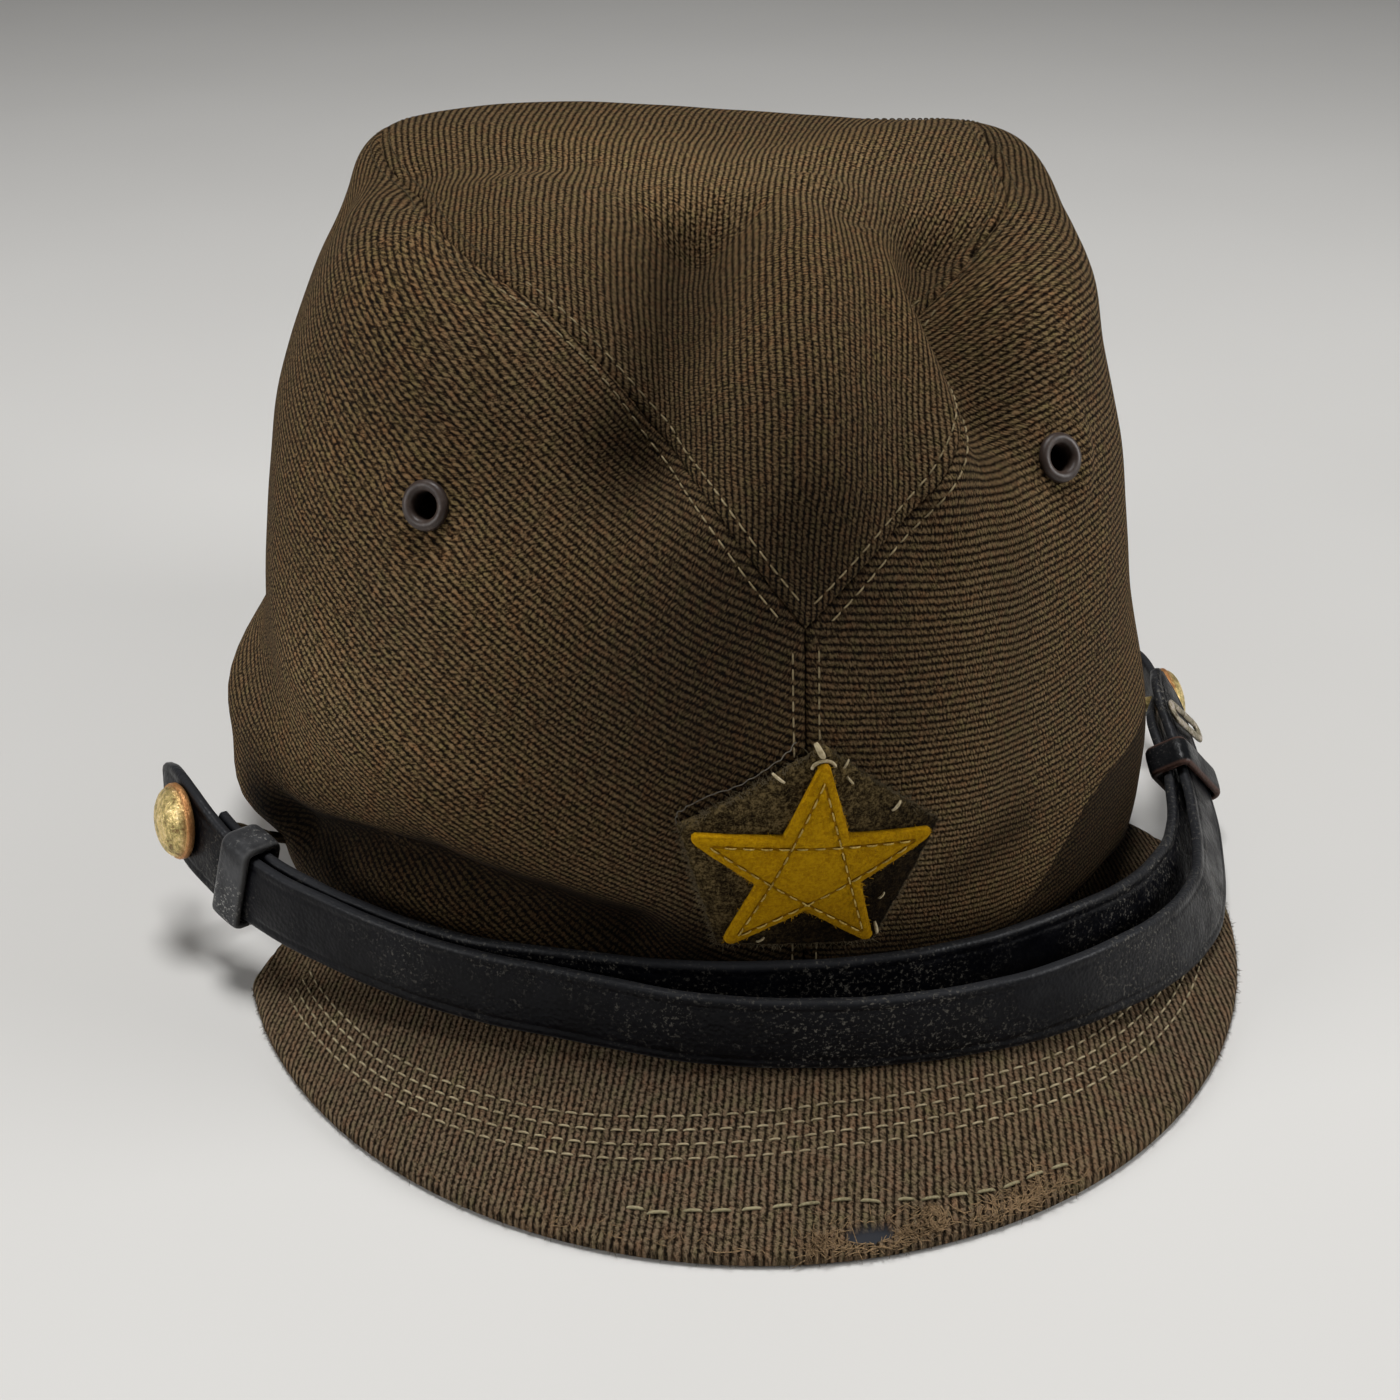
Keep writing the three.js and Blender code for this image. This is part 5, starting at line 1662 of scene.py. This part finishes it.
def loose_thread():
    """A grey thread pulled out of the patch's upper edge, lying on the crown beside it."""
    knots = np.arange(len(LOOSE_THREAD["right"]))
    t = np.linspace(0, knots[-1], 60)
    right = np.interp(t, knots, LOOSE_THREAD["right"]) + LOOSE_WAVE * np.sin(9 * t)
    up = np.interp(t, knots, LOOSE_THREAD["up"]) + LOOSE_WAVE * np.cos(11 * t)
    line = badge_point(right, up, 0.35 + 0.2 * np.sin(5 * t) ** 2)
    return tubes(line[None], np.full((1, len(t)), LOOSE_RADIUS), 6)


piece("patch_hand_stitches", merge(patch_stitches(), tip_loop()), PALE_THREAD)
piece("patch_loose_thread", loose_thread(), GREY_THREAD)

STAR_STITCH_LENGTH = 1.7
STAR_STITCH_GAP = 1.0
STAR_STITCH_STAGGER = 0.3
STAR_STITCH_RADIUS = 0.13
STAR_STITCH_RISE = 0.14
STAR_STITCH_LIFT = 0.2


def star_stitches():
    """Running stitches from tip to tip, which cross in the middle of the star."""
    parts = []
    tips = [badge_angle(k / BADGE_POINTS) for k in range(BADGE_POINTS)]
    reach = STAR_SEWN_REACH
    t = np.linspace(0, 1, 80)
    for k in range(BADGE_POINTS):
        a = tips[k]
        b = tips[(k + 2) % BADGE_POINTS]
        right = reach * (math.cos(a) + (math.cos(b) - math.cos(a)) * t)
        up = reach * (math.sin(a) + (math.sin(b) - math.sin(a)) * t)
        line = badge_point(right, up, np.full(t.shape, STAR_LIFT + FELT + STAR_STITCH_LIFT))
        around = np.degrees(np.arctan2(line[:, 0], -line[:, 1]))
        normals = crown_normal(around, crown_share(around, line[:, 2]))
        row = along_line(line, normals, STAR_STITCH_LENGTH, STAR_STITCH_GAP, k * STAR_STITCH_STAGGER)
        parts.append(stitches(*row, STAR_STITCH_RADIUS, STAR_STITCH_RISE))
    return merge(*parts)


piece("star_stitches", star_stitches(), GOLD_THREAD)


# Chin strap
STRAP_STEPS = 360


def strap_spot(rows, around):
    reach = read(rows, "around", around, "reach")
    angle = np.radians(around)
    height = read(rows, "around", around, "height")
    return np.stack([reach * np.sin(angle), -reach * np.cos(angle), height], axis=-1)


def strap_axes(rows, around):
    """Directions along the strap, across it towards its top edge, and out of its face."""
    around = np.asarray(around, float)
    first = rows["around"][0]
    last = rows["around"][-1]
    after = strap_spot(rows, np.minimum(around + 0.5, last))
    before = strap_spot(rows, np.maximum(around - 0.5, first))
    along = unit(after - before)
    level = unit(np.cross(along, (0, 0, 1)))
    lean = np.radians(read(rows, "around", around, "lean"))[..., None]
    across = unit(np.cross(level, along)) * np.cos(lean) - level * np.sin(lean)
    return along, across, unit(np.cross(along, across))


def strap_section(width):
    """Pairs of outward and across round a strap: a domed face with a tooled line near each edge."""
    high = width / 2
    corner = min(0.75, high / 2)
    deep = LEATHER / 2
    up = np.linspace(-high + corner, high - corner, 34)
    face = deep + 0.22 * (1 - (up / high) ** 2)
    face -= 0.16 * np.exp(-(((np.abs(up) - (high - 1.9)) / 0.3) ** 2))
    turn = np.linspace(0, math.pi / 2, 5)[1:-1]
    back = np.linspace(high - corner, -high + corner, 10)

    def bend(out_sign, up_sign, angles):
        out = out_sign * (deep - corner + corner * np.cos(angles))
        return np.stack([out, up_sign * (high - corner + corner * np.sin(angles))], axis=-1)

    return np.concatenate([
        np.stack([face, up], axis=-1),
        bend(1, 1, turn),
        bend(-1, 1, turn[::-1]),
        np.stack([np.full(back.shape, -deep), back], axis=-1),
        bend(-1, -1, turn),
        bend(1, -1, turn[::-1]),
    ])


def strap(rows):
    around = np.linspace(rows["around"][0], rows["around"][-1], STRAP_STEPS + 1)
    spot = strap_spot(rows, around)
    across, outward = strap_axes(rows, around)[1:]
    width = read(rows, "around", around, "width")
    section = np.stack([strap_section(w) for w in width])
    run = arc(spot, 0)
    ripple = 0.12 * np.sin(run / 6.1) * np.sin(run / 17.3 + 1) + 0.05 * np.sin(run / 2.3)
    out = section[..., 0] + ripple[:, None]
    points = spot[:, None] + outward[:, None] * out[..., None] + across[:, None] * section[..., 1:]
    corners = section.shape[1]
    index = np.arange(points.shape[0] * corners).reshape(points.shape[0], corners)
    faces = grid_faces(np.concatenate([index, index[:, :1]], axis=1))
    faces += [index[0].tolist(), index[-1, ::-1].tolist()]
    faces = [face[::-1] for face in faces]
    lengthwise = np.broadcast_to(run[:, None], section.shape[:2])
    edge = section[..., 1] / width[:, None] * STRAP_WIDTH
    uv = np.stack([lengthwise, edge], axis=-1).reshape(-1, 2)
    return points.reshape(-1, 3), faces, uv


for strap_name, strap_rows in (("strap_outer", STRAP_OUTER), ("strap_inner", STRAP_INNER)):
    piece("leather_" + strap_name, strap(strap_rows), STRAP_LEATHER, (strap_name,))


# Loops on the strap
def rounded_loop(half_deep, half_high, corner, straight=9, bend=6):
    """Pairs of outward and across round a rectangle with rounded corners."""
    quarter = np.linspace(0, math.pi / 2, bend, endpoint=False)
    loop = []
    for k in range(4):
        turn = k * math.pi / 2
        deep, high = (half_deep, half_high) if k % 2 == 0 else (half_high, half_deep)
        line = np.linspace(-high + corner, high - corner, straight, endpoint=False)
        side = np.stack([np.full(line.shape, deep), line], axis=-1)
        bow = np.stack([np.cos(quarter), np.sin(quarter)], axis=-1)
        bow = np.array((deep - corner, high - corner)) + corner * bow
        both = np.concatenate([side, bow])
        spin = np.array(((math.cos(turn), math.sin(turn)), (-math.sin(turn), math.cos(turn))))
        loop.append(both @ spin)
    return np.concatenate(loop)


def keeper(around, length):
    outer_spot = strap_spot(STRAP_OUTER, around)
    inner_spot = strap_spot(STRAP_INNER, around)
    along, across, outward = strap_axes(STRAP_OUTER, around)
    apart = outer_spot - inner_spot
    centre = (outer_spot + inner_spot) / 2
    slack = 2 * GAP
    half_deep = (abs(apart @ outward) + LEATHER) / 2 + slack
    half_high = (abs(apart @ across) + read(STRAP_OUTER, "around", around, "width")) / 2 + slack
    forward = np.linspace(-length / 2, length / 2, 17)
    share = 2 * forward / length
    swell = KEEPER_WALL * (0.55 + 0.45 * np.sqrt(np.clip(1 - share**4, 0, 1))) + 0.18 * share**8
    inside = rounded_loop(half_deep, half_high, KEEPER_CORNER)
    grown = rounded_loop(half_deep + 1, half_high + 1, KEEPER_CORNER + 1) - inside
    out = inside[:, None, 0] + grown[:, None, 0] * swell
    up = inside[:, None, 1] + grown[:, None, 1] * swell
    base = centre + along * forward[None, :, None]
    outer = base + outward * out[..., None] + across * up[..., None]
    low = inside[:, None, :] * np.ones((1, len(forward), 1))
    inner = base + outward * low[..., :1] + across * low[..., 1:]
    points, faces = shell(outer, inner, 1, closed=True)
    edge = np.tile(LOOP_EDGE * share, len(inside))
    edge = np.concatenate([edge, edge])
    uv = np.stack([np.zeros(len(points)), edge], axis=-1)
    return points, faces, uv


for loop_name, loop_spot, loop_material, loop_slot in (
    ("strap_keeper", (KEEPER_AROUND, KEEPER_LENGTH), LOOP_LEATHER, "strap_leather"),
    ("buckle_keeper", (BUCKLE_KEEPER_AROUND, BUCKLE_KEEPER_LENGTH), KEEPER_LEATHER, "keeper_leather"),
):
    piece("leather_" + loop_name, keeper(*loop_spot), loop_material, (loop_name,))


# Slide frame of brass wire
def buckle():
    along, across, outward = strap_axes(STRAP_OUTER, BUCKLE_AROUND)
    bar = BUCKLE_BAR / 2
    foot = strap_spot(STRAP_OUTER, BUCKLE_AROUND) + outward * (LEATHER / 2 + 2 * GAP + BUCKLE_FLAT * bar)
    path = rounded_loop(BUCKLE_LENGTH / 2 - bar, BUCKLE_HEIGHT / 2 - bar, BUCKLE_CORNER, straight=14, bend=8)
    tangent = unit(np.roll(path, -1, axis=0) - np.roll(path, 1, axis=0))
    side = np.stack([tangent[:, 1], -tangent[:, 0]], axis=-1)
    turn = np.linspace(0, 2 * math.pi, BUCKLE_SIDES, endpoint=False)
    wide = bar * np.cos(turn)
    flat = path[:, None] + side[:, None] * wide[None, :, None]
    rise = np.broadcast_to(BUCKLE_FLAT * bar * np.sin(turn), flat.shape[:2])
    points = foot + along * flat[..., :1] + across * flat[..., 1:] + outward * rise[..., None]
    index = np.arange(points.shape[0] * BUCKLE_SIDES).reshape(points.shape[0], BUCKLE_SIDES)
    faces = grid_faces(np.concatenate([index, index[:, :1]], axis=1), closed=True)
    return points.reshape(-1, 3), faces


piece("brass_buckle", buckle(), PALE_BRASS, ("buckle",))


# Strap buttons and the threads that hold them
def button(rows, around):
    spot = strap_spot(rows, around)
    outward = strap_axes(rows, around)[2]
    back = LEATHER / 2 + GAP
    stub = -back - SHANK_STUB
    turn = np.linspace(0, math.pi / 2, 16)
    dome_foot = back + BUTTON_EDGE
    dome = np.stack([DOME_RADIUS * np.cos(turn), dome_foot + BUTTON_DOME * np.sin(turn)], axis=-1)
    rim = (
        (BUTTON_RADIUS - 0.4, back),
        (BUTTON_RADIUS, back + 0.4),
        (BUTTON_RADIUS, back + BUTTON_EDGE - 0.2),
        (BUTTON_RADIUS - 0.2, back + BUTTON_EDGE + 0.15),
        (BUTTON_RADIUS * 0.95, back + BUTTON_EDGE + 0.05),
    )
    shank = ((TINY, stub), (SHANK_RADIUS, stub), (SHANK_RADIUS, back))
    dome[-1, 0] = TINY
    profile = np.concatenate([np.array(shank), np.array(rim), dome])
    edge = smoothstep(profile[:, 0] / BUTTON_RADIUS, 0.86, 0.99) * 0.8
    return *lathe(profile, spot, outward, BUTTON_STEPS), None, np.tile(edge, BUTTON_STEPS)


def button_thread(rows, around, drop):
    spot = strap_spot(rows, around)
    along, across, outward = strap_axes(rows, around)
    angle = math.radians(drop)
    inward = -outward * math.cos(angle) - across * math.sin(angle)
    root = spot - outward * (LEATHER / 2 + GAP + SHANK_STUB / 2)
    distance = np.arange(0, STEM_LONGEST, STEM_STEP)
    ray = root + inward * distance[:, None]
    turn = np.degrees(np.arctan2(ray[:, 0], -ray[:, 1]))
    skin = crown(turn, crown_share(turn, ray[:, 2]))
    inside = np.hypot(ray[:, 0], ray[:, 1]) < np.hypot(skin[:, 0], skin[:, 1])
    length = distance[np.argmax(inside)]
    t = np.linspace(0, 1, 24)
    lines = []
    for k in range(STEM_PLIES):
        spin = 2 * math.pi * (k / STEM_PLIES + STEM_TURNS * t)
        sway = along * np.cos(spin)[:, None] + across * np.sin(spin)[:, None]
        lines.append(root + inward * (t * length)[:, None] + sway * STEM_PLY_OFFSET)
    lines = np.stack(lines)
    return tubes(lines, np.full(lines.shape[:2], STEM_PLY_RADIUS), 8)


for button_name, (button_rows, button_around, button_drop) in BUTTONS.items():
    stem = button_thread(button_rows, button_around, button_drop)
    piece("brass_" + button_name, button(button_rows, button_around), BRASS, (button_name,))
    piece("thread_" + button_name, stem, BROWN_THREAD)


# Floor, light and camera: the eye and the aim in the cap's own frame, the rest in metres
EYE = np.array((-63.59, -343.09, 217.71))
AIM = np.array((-1.68, -11.09, 30.97))
FIELD_OF_VIEW = 38
NEAREST_VIEW = 0.01
FLOOR_HALF = 4
FLOOR_CORNERS = ((-1, -1), (1, -1), (1, 1), (-1, 1))

floor_shader = Shader("pale_floor")
floor_tone = floor_shader.noise(floor_shader.place(), 6.0, 2.0)
floor_colour = floor_shader.ramp(floor_tone, (0.3, (0.62, 0.61, 0.59)), (0.7, (0.64, 0.63, 0.61)))
FLOOR = floor_shader.finish(floor_colour, 0.7)
floor_data = bpy.data.meshes.new("floor")
floor_points = [(x * FLOOR_HALF, y * FLOOR_HALF, 0) for x, y in FLOOR_CORNERS]
floor_data.from_pydata(floor_points, [], [(0, 1, 2, 3)])
floor_data.materials.append(FLOOR)
floor = bpy.data.objects.new("floor", floor_data)
bpy.context.scene.collection.objects.link(floor)


def area_light(name, place, aim, size, power):
    data = bpy.data.lights.new(name, "AREA")
    data.shape = "DISK"
    data.size = size
    data.energy = power
    lamp = bpy.data.objects.new(name, data)
    lamp.location = place
    lamp.rotation_euler = (Vector(aim) - Vector(place)).to_track_quat("-Z", "Y").to_euler()
    bpy.context.scene.collection.objects.link(lamp)


area_light("key_light", place=(-0.05, 0.05, 1.2), aim=(0, 0, 0.05), size=0.4, power=11)
area_light("left_light", place=(-0.9, -0.25, 0.4), aim=(0, 0, 0.08), size=0.5, power=4)
area_light("right_light", place=(0.9, -0.35, 0.45), aim=(0, 0, 0.08), size=0.5, power=6)
world = bpy.data.worlds.new("studio")
world.use_nodes = True
background = world.node_tree.nodes["Background"].inputs
background["Color"].default_value = (1.0, 0.98, 0.95, 1)
background["Strength"].default_value = 0.05
bpy.context.scene.world = world
bpy.context.scene.view_settings.view_transform = "Standard"

camera_data = bpy.data.cameras.new("camera")
camera_data.angle = math.radians(FIELD_OF_VIEW)
camera_data.clip_start = NEAREST_VIEW
camera = bpy.data.objects.new("camera", camera_data)
camera.location = (EYE + SHIFT) * MM
camera.rotation_euler = Vector(AIM - EYE).to_track_quat("-Z", "Y").to_euler()
bpy.context.scene.collection.objects.link(camera)
bpy.context.scene.camera = camera
